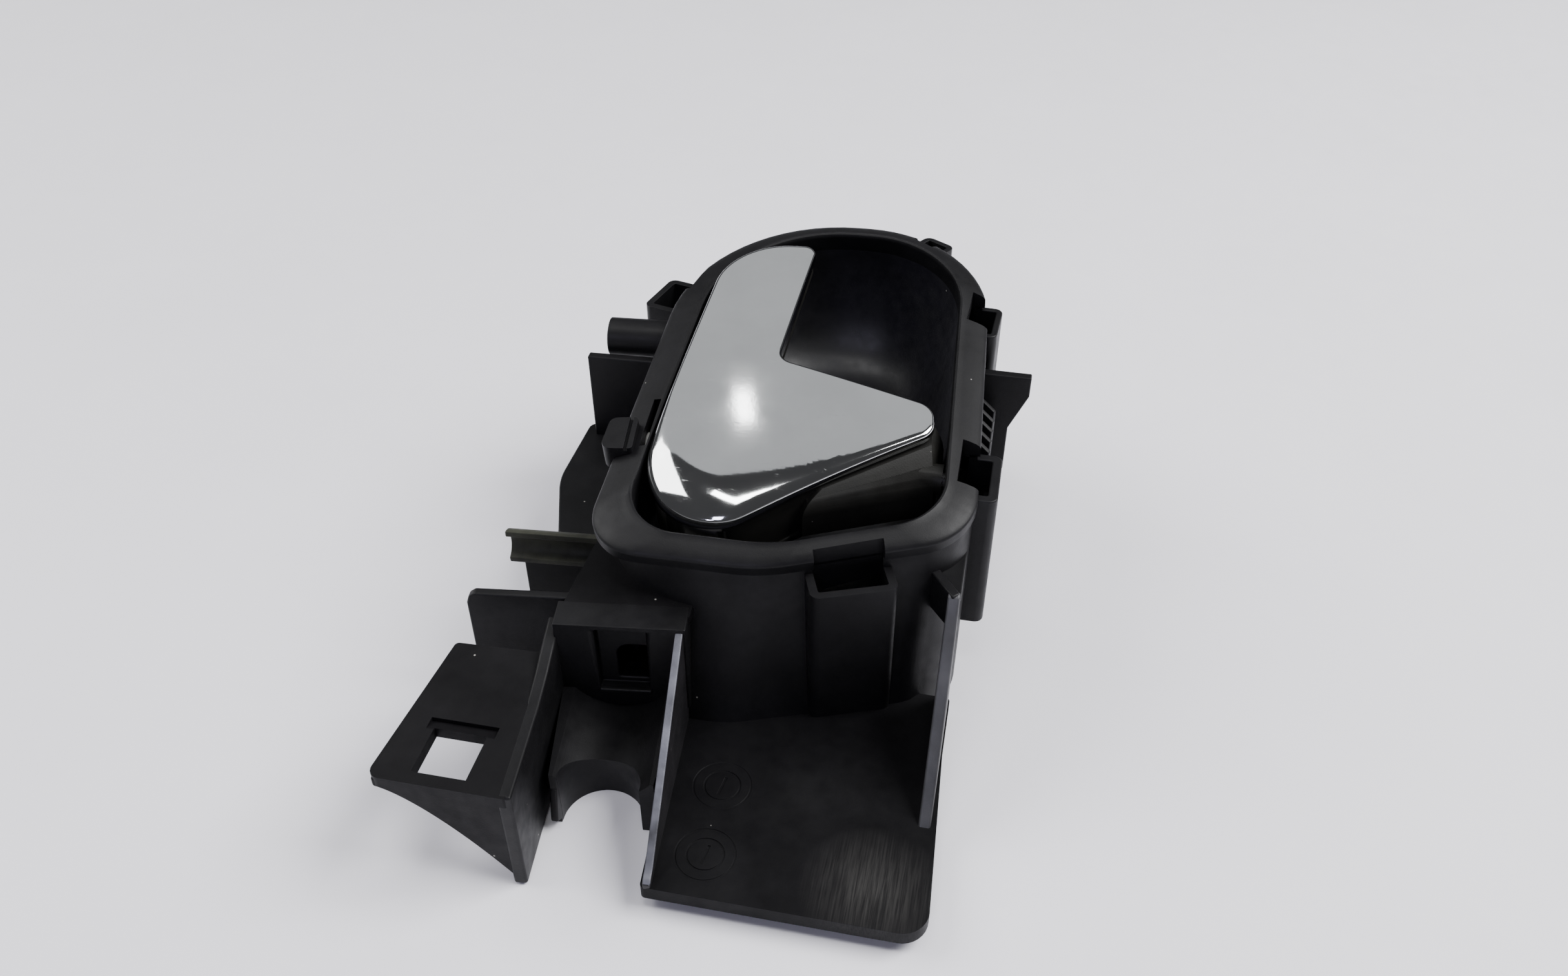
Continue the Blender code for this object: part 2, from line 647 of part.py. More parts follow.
clear_scene()
PARTS = new_collection("car_door_handle")
CUTTERS = new_collection("cutters")
BLACK_PLASTIC = new_material("black_plastic", (0.025, 0.025, 0.028), 0.5)
ROOT = new_empty("drawing_frame", DRAWING_ORIGIN)
PIN_PLACE = bezel_point(0.0, PIN_Y, PIN_Z)
LEVER_AXIS = new_empty("lever_axis", PIN_PLACE, ROOT, tilt=BEZEL_TILT)
PIN_AXIS = new_empty("pin_axis", PIN_PLACE, ROOT, tilt=BEZEL_TILT)
OVAL_WALLS = build_housing(ROOT, BLACK_PLASTIC)
build_lever(LEVER_AXIS, PIN_AXIS, OVAL_WALLS, BLACK_PLASTIC)
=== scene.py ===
"""Looks of the interior car door handle: detailed pieces, materials, floor, light and camera.

Shapes are worked out in millimetres in the drawing frame, whose origin is by the near left corner of the
fixing plate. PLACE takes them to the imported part's own frame, in metres.
"""
import json
import math

import bmesh
import bpy
from mathutils import Matrix, Vector
from mathutils.geometry import delaunay_2d_cdt


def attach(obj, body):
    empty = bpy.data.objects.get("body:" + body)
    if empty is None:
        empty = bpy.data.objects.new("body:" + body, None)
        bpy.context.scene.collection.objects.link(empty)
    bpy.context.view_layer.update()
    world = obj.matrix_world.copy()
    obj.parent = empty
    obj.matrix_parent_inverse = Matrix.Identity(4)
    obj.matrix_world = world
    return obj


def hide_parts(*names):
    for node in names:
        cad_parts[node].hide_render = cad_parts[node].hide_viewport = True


MM = 0.001

# The bezel's plane: its centre and tilt, and the pin's place below it
BEZEL_CENTRE = Vector((13.5, 110.0, 58.6))
BEZEL_TILT = math.radians(10)
PIN_Y, PIN_Z = -24.0, -6.2

# Outlines in the bezel's plane, as corner x, corner y and corner radius
OUTER_RIM = ((-40.2, -59.4, 12), (-1.5, -58.6, 36), (42.0, -43.0, 16), (36.0, 59.0, 33),
             (-39.6, 57.2, 42))
OPENING = ((-33.1, -53.8, 12.5), (0.5, -53.4, 38), (34.8, -40.0, 15), (29.6, 52.7, 25),
           (-31.4, 51.6, 34))
SKIRT_TOP = ((-39.0, -57.0, 26), (-1.5, -57.0, 36), (41.4, -42.2, 16), (35.4, 58.4, 33),
             (-39.0, 56.6, 42))
LEVER = ((-32.1, -49.3, 17.0), (-10.1, -49.3, 11.8), (30.2, -17.5, 5.5), (28.8, -9.6, 5),
         (-8.6, -0.6, 4), (-7.2, 43.2, 3), (-29.4, 41.6, 18))
DEEP_BODY = ((-32.1, -49.3, 17.0), (-10.1, -49.3, 11.8), (30.2, -17.5, 5.5), (28.8, -9.6, 5),
             (-8.6, -6.0, 4), (-31.0, -6.0, 4))

# Rim, skirt and bowl
WALL = 1.8
RIM_EDGE = 5.0
BOWL_DEPTH = 35.0
SKIRT_FOOT = ((-27.0, 43.8, 24), (6.0, 44.5, 26), (54.5, 62.5, 20), (50.5, 167.0, 30),
              (-27.5, 168.5, 46))
SKIRT_HEIGHT = -RIM_EDGE + 0.2
INTO_WALL = 0.9
# Up to this Y the skirt's foot stands on the plate, sunk into it a little
FOOT_STEP_Y = 60.5
FOOT_SINK = 0.4
# How far below a clip pocket's top its notch ends and its tooth sits
CLIP_NOTCH = 12.0
CLIP_TOOTH = 9.5
BUSH_SEAT_RADIUS = 2.7

# Plate, channel and bracket
PLATE_BOTTOM, PLATE_TOP = 3.0, 6.4
INSERT_OUTER, INSERT_INNER = 6.3, 4.0
PLATE = ((-0.7, 0.5, 1), (56.0, 0.5, 5.5), (54.0, 46.0, 1), (54.0, 62.0, 1), (-5.0, 62.0, 1),
         (-5.0, 45.0, 1))
SHELF_TOP = 33.9
CHANNEL_TURN = math.radians(7.6)
TROUGH_RADIUS = 12.6
NOTCH_CENTRE = (-14.2, 18.2)
NOTCH_RADIUS = 8.6
BRACKET_TOP = 27.5
BRACKET_THICKNESS = 2.8
BRACKET = ((-53.9, 0.2, 2.4), (-25.4, 0.2, 0.5), (-31.4, 38.2, 0.5), (-50.7, 37.4, 1))
HOLE_CENTRE = (-40.0, 8.6)
HOLE_SIDE = 11.2

# Arms and flange on the left, fins on the right
ARM_RADIUS = 4.8
ARM_WALL = 1.5
ARM_TURN = math.radians(5)
FLANGE_BOTTOM, FLANGE_TOP = 22.4, 25.0
FIN_COUNT = 5
FIN_PITCH = 4.2

# Lever and hinge
NOSE = Vector((-24.0, -47.0))
CAP_CROWN = 3.2
CAP_LOW, CAP_HIGH = (-32.0, -50.0), (31.0, 44.0)
CAP_GRID = 0.9
CAP_BORDER = 3.0
CARRIER_TOP = -0.75
CARRIER_FOOT = -15.9
LEVER_TRAVEL = math.radians(35)
CRANK_X = -24.0
CRANK_HALF = 3.5
BOSS_RADIUS = 3.4
PIN_RADIUS = 1.6
PIN_BORE = 1.9
SPRING_RADIUS = 3.2
SPRING_TURNS = 5
SPRING_PITCH = 1.5
SPRING_START = -4.0
SPRING_WIRE = 0.55
TRAVEL_PAD_DROP = 13.5

# Camera
CAMERA_PLACE = Vector((56.87, -140.1, 225.0))
CAMERA_LENS = 29.64
CAMERA_TURN = (math.radians(51.5), 0.0, math.radians(11.5))


# ---------------------------------------------------------------- frame

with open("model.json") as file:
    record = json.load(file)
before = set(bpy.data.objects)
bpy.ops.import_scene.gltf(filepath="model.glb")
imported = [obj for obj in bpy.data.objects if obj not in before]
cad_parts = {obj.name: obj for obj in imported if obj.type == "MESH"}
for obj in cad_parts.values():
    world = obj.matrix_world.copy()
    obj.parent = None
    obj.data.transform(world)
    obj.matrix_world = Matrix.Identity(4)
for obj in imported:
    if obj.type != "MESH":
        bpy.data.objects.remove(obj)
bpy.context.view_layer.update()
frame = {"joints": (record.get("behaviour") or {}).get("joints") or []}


def bezel_point(x, y, z=0.0):
    """A point given in the bezel's plane and above it, in the drawing frame."""
    point = Vector((x, y, z))
    point.rotate(Matrix.Rotation(BEZEL_TILT, 3, "X"))
    return point + BEZEL_CENTRE


HINGE = Vector(frame["joints"][0]["pos_m"])
ORIGIN = HINGE - bezel_point(0.0, PIN_Y, PIN_Z) * MM
PLACE = Matrix.Translation(ORIGIN) @ Matrix.Scale(MM, 4)
ON_BEZEL = Matrix.Translation(BEZEL_CENTRE) @ Matrix.Rotation(BEZEL_TILT, 4, "X")
ON_PIN = ON_BEZEL @ Matrix.Translation((0.0, PIN_Y, PIN_Z))


# ---------------------------------------------------------------- outlines

def inset(corners, distance):
    """Moves every edge of an anticlockwise outline inwards, and tightens its corner radii."""
    moved = []
    count = len(corners)
    for i in range(count):
        before, here, after = (Vector(corners[(i + k) % count][:2]) for k in (-1, 0, 1))
        edge_in = (here - before).normalized()
        edge_out = (after - here).normalized()
        normal_in = Vector((-edge_in.y, edge_in.x))
        normal_out = Vector((-edge_out.y, edge_out.x))
        share = distance / (1.0 + normal_in.dot(normal_out))
        point = here + (normal_in + normal_out) * share
        radius = corners[i][2] - math.copysign(distance, edge_in.cross(edge_out))
        moved.append((point.x, point.y, max(radius, 0.3)))
    return moved


def rounded(corners, steps=12):
    """The points of an outline whose corners are arcs of their own radius."""
    points = []
    count = len(corners)
    for i in range(count):
        before, here, after = (Vector(corners[(i + k) % count][:2]) for k in (-1, 0, 1))
        radius = corners[i][2]
        back = (before - here).normalized()
        ahead = (after - here).normalized()
        half = back.angle(ahead) / 2.0
        centre = here + (back + ahead).normalized() * radius / math.sin(half)
        start = here + back * radius / math.tan(half) - centre
        sweep = start.angle_signed(here + ahead * radius / math.tan(half) - centre)
        for step in range(steps + 1):
            arm = start.copy()
            arm.rotate(Matrix.Rotation(-sweep * step / steps, 2))
            points.append(centre + arm)
    return points


def spread(points, longest):
    """Adds points to a closed outline, so that no edge is longer than this."""
    result = []
    for i, point in enumerate(points):
        after = points[(i + 1) % len(points)]
        parts = max(1, math.ceil((after - point).length / longest))
        result += [point.lerp(after, k / parts) for k in range(parts)]
    return result


def circle_angles(count):
    """Evenly spaced angles round a full turn."""
    return [2.0 * math.pi * k / count for k in range(count)]


def edge_distance(point, outline):
    """The distance from a point to a closed outline."""
    best = 1e9
    for i, a in enumerate(outline):
        b = outline[(i + 1) % len(outline)]
        edge = b - a
        share = max(0.0, min(1.0, (point - a).dot(edge) / edge.length_squared))
        best = min(best, (a + edge * share - point).length)
    return best


def is_inside(point, outline):
    """Whether a line from the point along X crosses the outline an odd number of times."""
    crossings = 0
    for i, a in enumerate(outline):
        b = outline[(i + 1) % len(outline)]
        if (a.y > point.y) != (b.y > point.y):
            crossings += point.x < a.x + (point.y - a.y) * (b.x - a.x) / (b.y - a.y)
    return crossings % 2 == 1


def drawn_to(corners, outline):
    """Another outline's points, each moved straight to its nearest place on this one."""
    target = rounded(corners, 20)
    moved = []
    for point in outline:
        best, found = 1e9, point
        for i, a in enumerate(target):
            b = target[(i + 1) % len(target)]
            edge = b - a
            if edge.length_squared < 1e-12:
                continue
            share = max(0.0, min(1.0, (point - a).dot(edge) / edge.length_squared))
            place = a + edge * share
            if (place - point).length < best:
                best, found = (place - point).length, place
        moved.append(found)
    return moved


# ---------------------------------------------------------------- meshes

def to_object(name, bm):
    """Turns a closed mesh's faces outwards and puts it in the scene."""
    bmesh.ops.recalc_face_normals(bm, faces=bm.faces)
    if bm.calc_volume(signed=True) < 0.0:
        bmesh.ops.reverse_faces(bm, faces=bm.faces)
    mesh = bpy.data.meshes.new(name)
    bm.to_mesh(mesh)
    bm.free()
    item = bpy.data.objects.new(name, mesh)
    bpy.context.scene.collection.objects.link(item)
    return item


def slab(name, points, low, high, place=None):
    """A flat outline with thickness."""
    bm = bmesh.new()
    lower = [bm.verts.new((p[0], p[1], low)) for p in points]
    upper = [bm.verts.new((p[0], p[1], high)) for p in points]
    bm.faces.new(lower[::-1])
    bm.faces.new(upper)
    for i in range(len(points)):
        j = (i + 1) % len(points)
        bm.faces.new((lower[i], lower[j], upper[j], upper[i]))
    if place is not None:
        bmesh.ops.transform(bm, matrix=place, verts=bm.verts)
    return to_object(name, bm)


def block(name, size, centre, turn=0.0, place=None):
    """A box that is cut or cuts, at its centre and turned about Z."""
    bm = bmesh.new()
    bmesh.ops.create_cube(bm, size=1.0)
    bmesh.ops.scale(bm, vec=size, verts=bm.verts)
    bmesh.ops.rotate(bm, cent=(0, 0, 0), matrix=Matrix.Rotation(turn, 3, "Z"), verts=bm.verts)
    bmesh.ops.translate(bm, vec=centre, verts=bm.verts)
    if place is not None:
        bmesh.ops.transform(bm, matrix=place, verts=bm.verts)
    return to_object(name, bm)


def loft(name, rings, endless=False):
    """A solid through rings with the same number of points, capped, or closed back to its start."""
    bm = bmesh.new()
    rows = [[bm.verts.new(point) for point in ring] for ring in rings]
    count = len(rows[0])
    pairs = list(zip(rows, rows[1:])) + ([(rows[-1], rows[0])] if endless else [])
    for lower, upper in pairs:
        for i in range(count):
            j = (i + 1) % count
            bm.faces.new((lower[i], lower[j], upper[j], upper[i]))
    if not endless:
        bm.faces.new(rows[0][::-1])
        bm.faces.new(rows[-1])
    return to_object(name, bm)


def turned(name, profile, place, sides=40, endless=False):
    """A turned piece about the X axis of its place: the profile is (along X, radius)."""
    rings = []
    for along, radius in profile:
        ring = [Vector((along, radius * math.cos(a), radius * math.sin(a))) for a in circle_angles(sides)]
        rings.append([place @ point for point in ring])
    return loft(name, rings, endless)


def upright(x, y, turn=0.0):
    """The place of a profile drawn in (along Y, up Z), with its thickness along X."""
    stand = Matrix(((0, 0, 1, 0), (1, 0, 0, 0), (0, 1, 0, 0), (0, 0, 0, 1)))
    return Matrix.Translation((x, y, 0)) @ Matrix.Rotation(turn, 4, "Z") @ stand


def facing(x, y, turn=0.0):
    """The place of a profile drawn in (along X, up Z), with its thickness towards -Y."""
    stand = Matrix(((1, 0, 0, 0), (0, 0, -1, 0), (0, 1, 0, 0), (0, 0, 0, 1)))
    return Matrix.Translation((x, y, 0)) @ Matrix.Rotation(turn, 4, "Z") @ stand


def combine(item, tool, operation="DIFFERENCE", keep=False):
    """Cuts or joins one mesh with another, and drops the tool."""
    modifier = item.modifiers.new("combine", "BOOLEAN")
    modifier.object = tool
    modifier.operation = operation
    bpy.context.view_layer.update()
    evaluated = item.evaluated_get(bpy.context.evaluated_depsgraph_get())
    mesh = bpy.data.meshes.new_from_object(evaluated)
    item.modifiers.clear()
    item.data = mesh
    if not keep:
        bpy.data.objects.remove(tool, do_unlink=True)
    return item


def dress(item, material, nodes=(), bevel=0.35, segments=3, body="housing",
          angle=32, top=None):
    """Gives a piece its material, and maybe another on its top faces as painted top light, its round edges
    and its body.
    """
    item.data.transform(PLACE)
    item.data.materials.clear()
    item.data.materials.append(material)
    item.data.polygons.foreach_set("material_index", [0] * len(item.data.polygons))
    if top is not None:
        item.data.materials.append(top)
        # Faces that look up take the second material: painted light on the tops.
        for face in item.data.polygons:
            face.material_index = int(face.normal.z > 0.6)
    item.data.shade_smooth()
    if bevel:
        edge = item.modifiers.new("rounded_edges", "BEVEL")
        edge.width = bevel * MM
        edge.segments = segments
        edge.limit_method = "ANGLE"
        edge.angle_limit = math.radians(angle)
        edge.use_clamp_overlap = True
        edge.miter_outer = "MITER_ARC"
        normals = item.modifiers.new("flat_faces", "WEIGHTED_NORMAL")
        normals.keep_sharp = True
    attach(item, body)
    if nodes:
        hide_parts(*nodes)
    return item


# ---------------------------------------------------------------- materials

def set_range(node, *limits):
    """Fills in a Map Range node: its range before, and its range after."""
    for socket, value in zip(("From Min", "From Max", "To Min", "To Max"), limits):
        node.inputs[socket].default_value = value


class Paint:
    """A Principled material and the few node recipes that the finishes share."""

    def __init__(self, name, **values):
        self.material = bpy.data.materials.new(name)
        self.material.use_nodes = True
        self.nodes = self.material.node_tree.nodes
        self.links = self.material.node_tree.links
        self.shader = self.nodes["Principled BSDF"]
        self.place = self.nodes.new("ShaderNodeTexCoord").outputs["Object"]
        for socket, value in values.items():
            self.shader.inputs[socket.replace("_", " ")].default_value = value

    def stretch(self, scale):
        """Coordinates with their own scale along each axis."""
        mapping = self.nodes.new("ShaderNodeMapping")
        mapping.inputs["Scale"].default_value = scale
        self.links.new(self.place, mapping.inputs["Vector"])
        return mapping.outputs["Vector"]

    def noise(self, size_mm, detail=4.0, roughness=0.55, vector=None):
        """Soft noise whose largest features are about this size."""
        node = self.nodes.new("ShaderNodeTexNoise")
        node.inputs["Scale"].default_value = 1000.0 / size_mm
        node.inputs["Detail"].default_value = detail
        node.inputs["Roughness"].default_value = roughness
        self.links.new(vector or self.place, node.inputs["Vector"])
        return node.outputs["Fac"]

    def ramp(self, source, low, high, low_value, high_value):
        """Takes the range from low to high to another range, and stops at its ends."""
        node = self.nodes.new("ShaderNodeMapRange")
        set_range(node, low, high, low_value, high_value)
        self.links.new(source, node.inputs["Value"])
        return node.outputs["Result"]

    def sum(self, first, second, operation="ADD"):
        """Two values added, or joined by another operation."""
        node = self.nodes.new("ShaderNodeMath")
        node.operation = operation
        self.links.new(first, node.inputs[0])
        self.links.new(second, node.inputs[1])
        return node.outputs["Value"]

    def blend(self, share, first, second):
        """A colour between two colours, or between a colour's socket and a colour."""
        node = self.nodes.new("ShaderNodeMix")
        node.data_type = "RGBA"
        self.links.new(share, node.inputs["Factor"])
        for socket, colour in ((node.inputs[6], first), (node.inputs[7], second)):
            if isinstance(colour, tuple):
                socket.default_value = (*colour, 1.0)
            else:
                self.links.new(colour, socket)
        return node.outputs[2]

    def specks(self, spacing_mm, size, rarity):
        """A mask of small round specks: one cell in a few holds one."""
        cells = self.nodes.new("ShaderNodeTexVoronoi")
        cells.inputs["Scale"].default_value = 1000.0 / spacing_mm
        self.links.new(self.place, cells.inputs["Vector"])
        near = self.ramp(cells.outputs["Distance"], size, size * 0.6, 0.0, 1.0)
        split = self.nodes.new("ShaderNodeSeparateColor")
        self.links.new(cells.outputs["Color"], split.inputs["Color"])
        chosen = self.ramp(split.outputs["Red"], rarity, rarity + 0.02, 0.0, 1.0)
        return self.sum(near, chosen, "MULTIPLY")

    def spot(self, centre_mm, radius_mm):
        """A soft round mask about a point of the drawing frame."""
        offset = self.nodes.new("ShaderNodeVectorMath")
        offset.operation = "DISTANCE"
        offset.inputs[1].default_value = PLACE @ Vector(centre_mm)
        self.links.new(self.place, offset.inputs[0])
        return self.ramp(offset.outputs["Value"], radius_mm * MM, 0.0, 0.0, 1.0)

    def set(self, socket, source):
        """Links a value to one of the shader's sockets."""
        self.links.new(source, self.shader.inputs[socket])

    def bump(self, source, height_mm, strength=1.0):
        """Adds fine relief to the relief that the shader already has."""
        node = self.nodes.new("ShaderNodeBump")
        node.inputs["Distance"].default_value = height_mm * MM
        node.inputs["Strength"].default_value = strength
        self.links.new(source, node.inputs["Height"])
        previous = self.shader.inputs["Normal"].links
        if previous:
            self.links.new(previous[0].from_socket, node.inputs["Normal"])
        self.links.new(node.outputs["Normal"], self.shader.inputs["Normal"])


def moulded_plastic(name, dark, light, rough, grain=0.02, dust=0.9, sheen=0.2):
    """Black moulded plastic: fine grain, faint tone changes, a satin sheen and a little dust."""
    paint = Paint(name, Metallic=0.0, IOR=1.5, Specular_IOR_Level=sheen)
    tone = paint.ramp(paint.noise(14.0), 0.3, 0.7, 0.0, 1.0)
    colour = paint.blend(tone, dark, light)
    specks = paint.specks(5.0, 0.05, dust)
    film = paint.ramp(paint.noise(22.0, 6.0), 0.5, 0.75, 0.0, 0.06)
    colour = paint.blend(film, colour, (0.05, 0.05, 0.052))
    paint.set("Base Color", paint.blend(specks, colour, (0.3, 0.29, 0.27)))
    gloss = paint.ramp(paint.noise(3.0, 5.0), 0.3, 0.7, rough - 0.05, rough + 0.07)
    paint.set("Roughness", paint.sum(gloss, film))
    paint.bump(paint.noise(0.35, 3.0), grain)
    paint.bump(paint.noise(9.0, 2.0), 0.05, 0.5)
    return paint


def plate_plastic():
    """The plate's plastic, rubbed pale near its right corner and finely scratched along Y."""
    paint = moulded_plastic("plate_plastic", (0.0022, 0.0021, 0.0026), (0.0044, 0.0042, 0.005), 0.46,
                            sheen=0.1)
    base = paint.shader.inputs["Base Color"].links[0].from_socket
    streaks = paint.noise(1.0, 3.0, 0.6, paint.stretch((3.4, 0.12, 1.0)))
    strength = paint.ramp(streaks, 0.36, 0.64, 0.2, 1.0)
    rubbed = paint.sum(paint.spot((44.0, 9.0, PLATE_TOP), 15.0), strength, "MULTIPLY")
    paint.set("Base Color", paint.blend(rubbed, base, (0.035, 0.034, 0.033)))
    scratched = paint.sum(paint.spot((40.0, 28.0, PLATE_TOP), 24.0), streaks, "MULTIPLY")
    paint.bump(scratched, 0.02)
    return paint.material


def chrome_finish():
    """Satin-bright plating: long soft waves, a hazy film and a few fine scuffs."""
    paint = Paint("chrome_plating", Metallic=1.0)
    haze = paint.ramp(paint.noise(18.0, 5.0), 0.35, 0.75, 0.0, 1.0)
    paint.set("Base Color", paint.blend(haze, (0.83, 0.84, 0.84), (0.74, 0.75, 0.75)))
    scuffs = paint.ramp(paint.noise(2.0, 6.0, 0.7, paint.stretch((0.5, 1.6, 1.0))), 0.62, 0.7, 0.0, 0.16)
    soft = paint.ramp(paint.noise(12.0, 3.0), 0.3, 0.7, 0.05, 0.1)
    paint.set("Roughness", paint.sum(soft, scuffs))
    paint.bump(paint.noise(24.0, 1.5), 0.12, 0.5)
    paint.bump(paint.noise(1.2, 3.0), 0.003)
    return paint.material


def metal_finish():
    """Spring steel, a little uneven in tone and gloss."""
    paint = Paint("spring_steel", Metallic=1.0)
    paint.set("Base Color", paint.blend(paint.noise(2.0), (0.36, 0.36, 0.37), (0.56, 0.56, 0.57)))
    paint.set("Roughness", paint.ramp(paint.noise(0.8), 0.3, 0.7, 0.25, 0.45))
    paint.bump(paint.noise(0.4), 0.004)
    return paint.material


def nylon_finish():
    """Undyed nylon, off-white and matt."""
    paint = Paint("natural_nylon", IOR=1.53)
    paint.set("Base Color", paint.blend(paint.noise(3.0), (0.66, 0.65, 0.6), (0.78, 0.77, 0.73)))
    paint.set("Roughness", paint.ramp(paint.noise(1.0), 0.3, 0.7, 0.38, 0.52))
    paint.bump(paint.noise(0.5), 0.01)
    return paint.material


def rubber_finish():
    """Dark matt rubber."""
    paint = Paint("buffer_rubber")
    paint.set("Base Color", paint.blend(paint.noise(1.5), (0.012, 0.012, 0.012), (0.03, 0.03, 0.03)))
    paint.set("Roughness", paint.ramp(paint.noise(0.7), 0.3, 0.7, 0.7, 0.9))
    paint.bump(paint.noise(0.4), 0.02)
    return paint.material


def floor_finish():
    """The pale board's paint, faintly uneven."""
    paint = Paint("painted_board")
    tone = paint.noise(60.0, 5.0)
    paint.set("Base Color", paint.blend(tone, (0.83, 0.82, 0.87), (0.885, 0.875, 0.93)))
    paint.set("Roughness", paint.ramp(paint.noise(8.0), 0.3, 0.7, 0.5, 0.66))
    paint.bump(paint.noise(2.5, 4.0), 0.03)
    return paint.material


def plastic(name, *values, **options):
    """A moulded plastic with nothing added to it."""
    return moulded_plastic(name, *values, **options).material


HOUSING = plastic("housing_plastic", (0.003, 0.0029, 0.0034), (0.006, 0.0058, 0.0068), 0.46)
SATIN = plastic("satin_plastic", (0.0032, 0.003, 0.0036), (0.006, 0.0057, 0.0066), 0.5, sheen=0.11)
# Lighter plastic for the side wall's top faces: painted light that makes the faces looking up brighter.
PAINTED_TOP_LIGHT = plastic("painted_top_light", (0.012, 0.012, 0.014), (0.05, 0.05, 0.056), 0.4, 0.03, sheen=0.4)
# Pale bluish plastic for the tall rib's top faces: a painted highlight standing in for the light that the
# rib's top reflects.
PAINTED_TOP_HIGHLIGHT = plastic("painted_top_highlight", (0.02, 0.02, 0.026), (0.21, 0.215, 0.26), 0.36, 0.03, sheen=0.5)
RUBBED = plastic("rubbed_plastic", (0.006, 0.006, 0.007), (0.017, 0.0155, 0.018), 0.42, 0.03, sheen=0.3)
# Lighter olive plastic for the lower arm: its olive tone is a painted reflection of the table; its denser
# specks and coarser grain are real dust.
DUST_AND_PAINTED_REFLECTION = plastic("dust_and_painted_reflection", (0.01, 0.0105, 0.008), (0.062, 0.064, 0.046), 0.55, 0.06, 0.75)
BOWL = plastic("bowl_plastic", (0.0036, 0.0035, 0.0056), (0.007, 0.0066, 0.011), 0.46, 0.012, 0.94,
               sheen=0.6)
CARRIER = plastic("carrier_plastic", (0.006, 0.006, 0.0055), (0.013, 0.0125, 0.011), 0.44, 0.02, 0.6)
PLATE_FINISH = plate_plastic()
CHROME = chrome_finish()
STEEL = metal_finish()
NYLON = nylon_finish()
RUBBER = rubber_finish()


# ---------------------------------------------------------------- rim, skirt and bowl

def bezel_ring(corners, distance, height):
    """An outline moved in by a distance, at a height over the bezel's plane."""
    return [bezel_point(p.x, p.y, height) for p in rounded(inset(corners, distance), 16)]


def between(first, second, share):
    """The ring that lies this share of the way from one ring to another."""
    return [a.lerp(b, share) for a, b in zip(first, second)]


def foot_ring(distance):
    """The skirt's foot: sunk a little into the plate near the channel, and on the table beyond it."""
    points = rounded(inset(SKIRT_FOOT, distance), 16)
    return [Vector((p.x, p.y, PLATE_TOP - FOOT_SINK if p.y < FOOT_STEP_Y else 0.0)) for p in points]


def rim_band():
    """The oval band: a small radius at the opening, a crowned top and a soft outer shoulder."""
    inner = bezel_ring(OPENING, 0.0, 0.0)
    outer = bezel_ring(OUTER_RIM, 0.0, 0.0)
    down = bezel_point(0, 0, -1) - bezel_point(0, 0, 0)
    rings = [bezel_ring(OPENING, 0.5, -RIM_EDGE - 0.4), bezel_ring(OPENING, 0.42, -1.1),
             bezel_ring(OPENING, 0.3, -0.5), bezel_ring(OPENING, 0.1, -0.15)]
    # The share of the way out from the opening, and the drop there
    crown = ((0.05, 0.0), (0.16, 0.35), (0.3, 0.6), (0.6, 1.15), (0.85, 1.8), (0.95, 2.25), (0.99, 2.6),
             (1.0, 2.9))
    for share, drop in crown:
        rings.append([p + down * drop for p in between(inner, outer, share)])
    rings.append([p + down * RIM_EDGE for p in outer])
    rings.append(bezel_ring(OUTER_RIM, INTO_WALL, -RIM_EDGE))
    rings.append(bezel_ring(OUTER_RIM, 1.2, -RIM_EDGE - 0.4))
    return loft("housing_rim", rings, endless=True)


def skirt_wall():
    """The wall below the rim, down to the plate and the table, with a draughted face."""
    outside = (bezel_ring(SKIRT_TOP, 0.0, SKIRT_HEIGHT), foot_ring(0.0))
    inside = (bezel_ring(SKIRT_TOP, WALL, SKIRT_HEIGHT), foot_ring(WALL))
    rings = [between(*outside, k / 6) for k in range(7)]
    rings += [between(*inside, k / 6) for k in range(6, -1, -1)]
    wall = loft("housing_skirt", rings, endless=True)
    passage = block("passage", (30.0, 26.0, 26.6), (-18.0, 40.2, 14.0), CHANNEL_TURN)
    return combine(wall, passage)


def finger_bowl():
    """The bowl's shell: nearly upright at the rim, then one smooth curve to a flat floor."""
    depth = -BOWL_DEPTH
    # The distance in from the opening, and the height over the bowl's floor
    curve = ((19.0, 0.0), (15.4, 0.5), (12.2, 1.7), (9.4, 3.7), (7.1, 6.4), (5.3, 9.6), (3.8, 13.4),
             (2.6, 17.5), (1.6, 21.5), (0.9, 25.0), (0.55, 28.0), (0.5, BOWL_DEPTH - RIM_EDGE + 0.3))
    rings = [bezel_ring(OPENING, distance, depth + height) for distance, height in curve]
    # The same curve back down on the outside, ending below the floor
    for distance, height in curve[:2:-1]:
        rings.append(bezel_ring(OPENING, distance - WALL, depth + height - 0.4))
    rings.append(bezel_ring(OPENING, 11.0, depth + 0.2))
    rings.append(bezel_ring(OPENING, 16.0, depth - 1.4))
    return loft("finger_bowl", rings)


def pocket_outline(half, reach, wall):
    """A three-sided pocket with round outer corners, open towards the skirt."""
    corners = ((-half, -8, 0.3), (wall - half, -8, 0.3), (wall - half, reach - wall, 0.5),
               (half - wall, reach - wall, 0.5), (half - wall, -8, 0.3), (half, -8, 0.3),
               (half, reach, 2.0), (-half, reach, 2.0))
    return rounded(corners, 6)


# Each pocket's name, place, turn in degrees, width and reach, wall, and lowest and highest point
CLIP_TOWERS = (
    ("front_clip_tower", (30.6, 58.3), 201, (18.6, 5.6), 1.8, (PLATE_TOP - 0.4, 42.6)),
    ("right_clip_tower", (52.8, 88.0), -90, (17.0, 6.2), 2.2, (14.0, 50.0)),
    ("right_rear_clip_tower", (49.6, 139.0), -93, (14.0, 4.8), 1.6, (30.0, 59.0)),
    ("far_clip_tower", (33.6, 165.0), -32, (9.0, 5.4), 1.5, (44.0, 63.5)),
    ("left_rear_clip_tower", (-25.0, 142.5), 76, (15.0, 10.2), 1.8, (24.0, 54.2)),
)


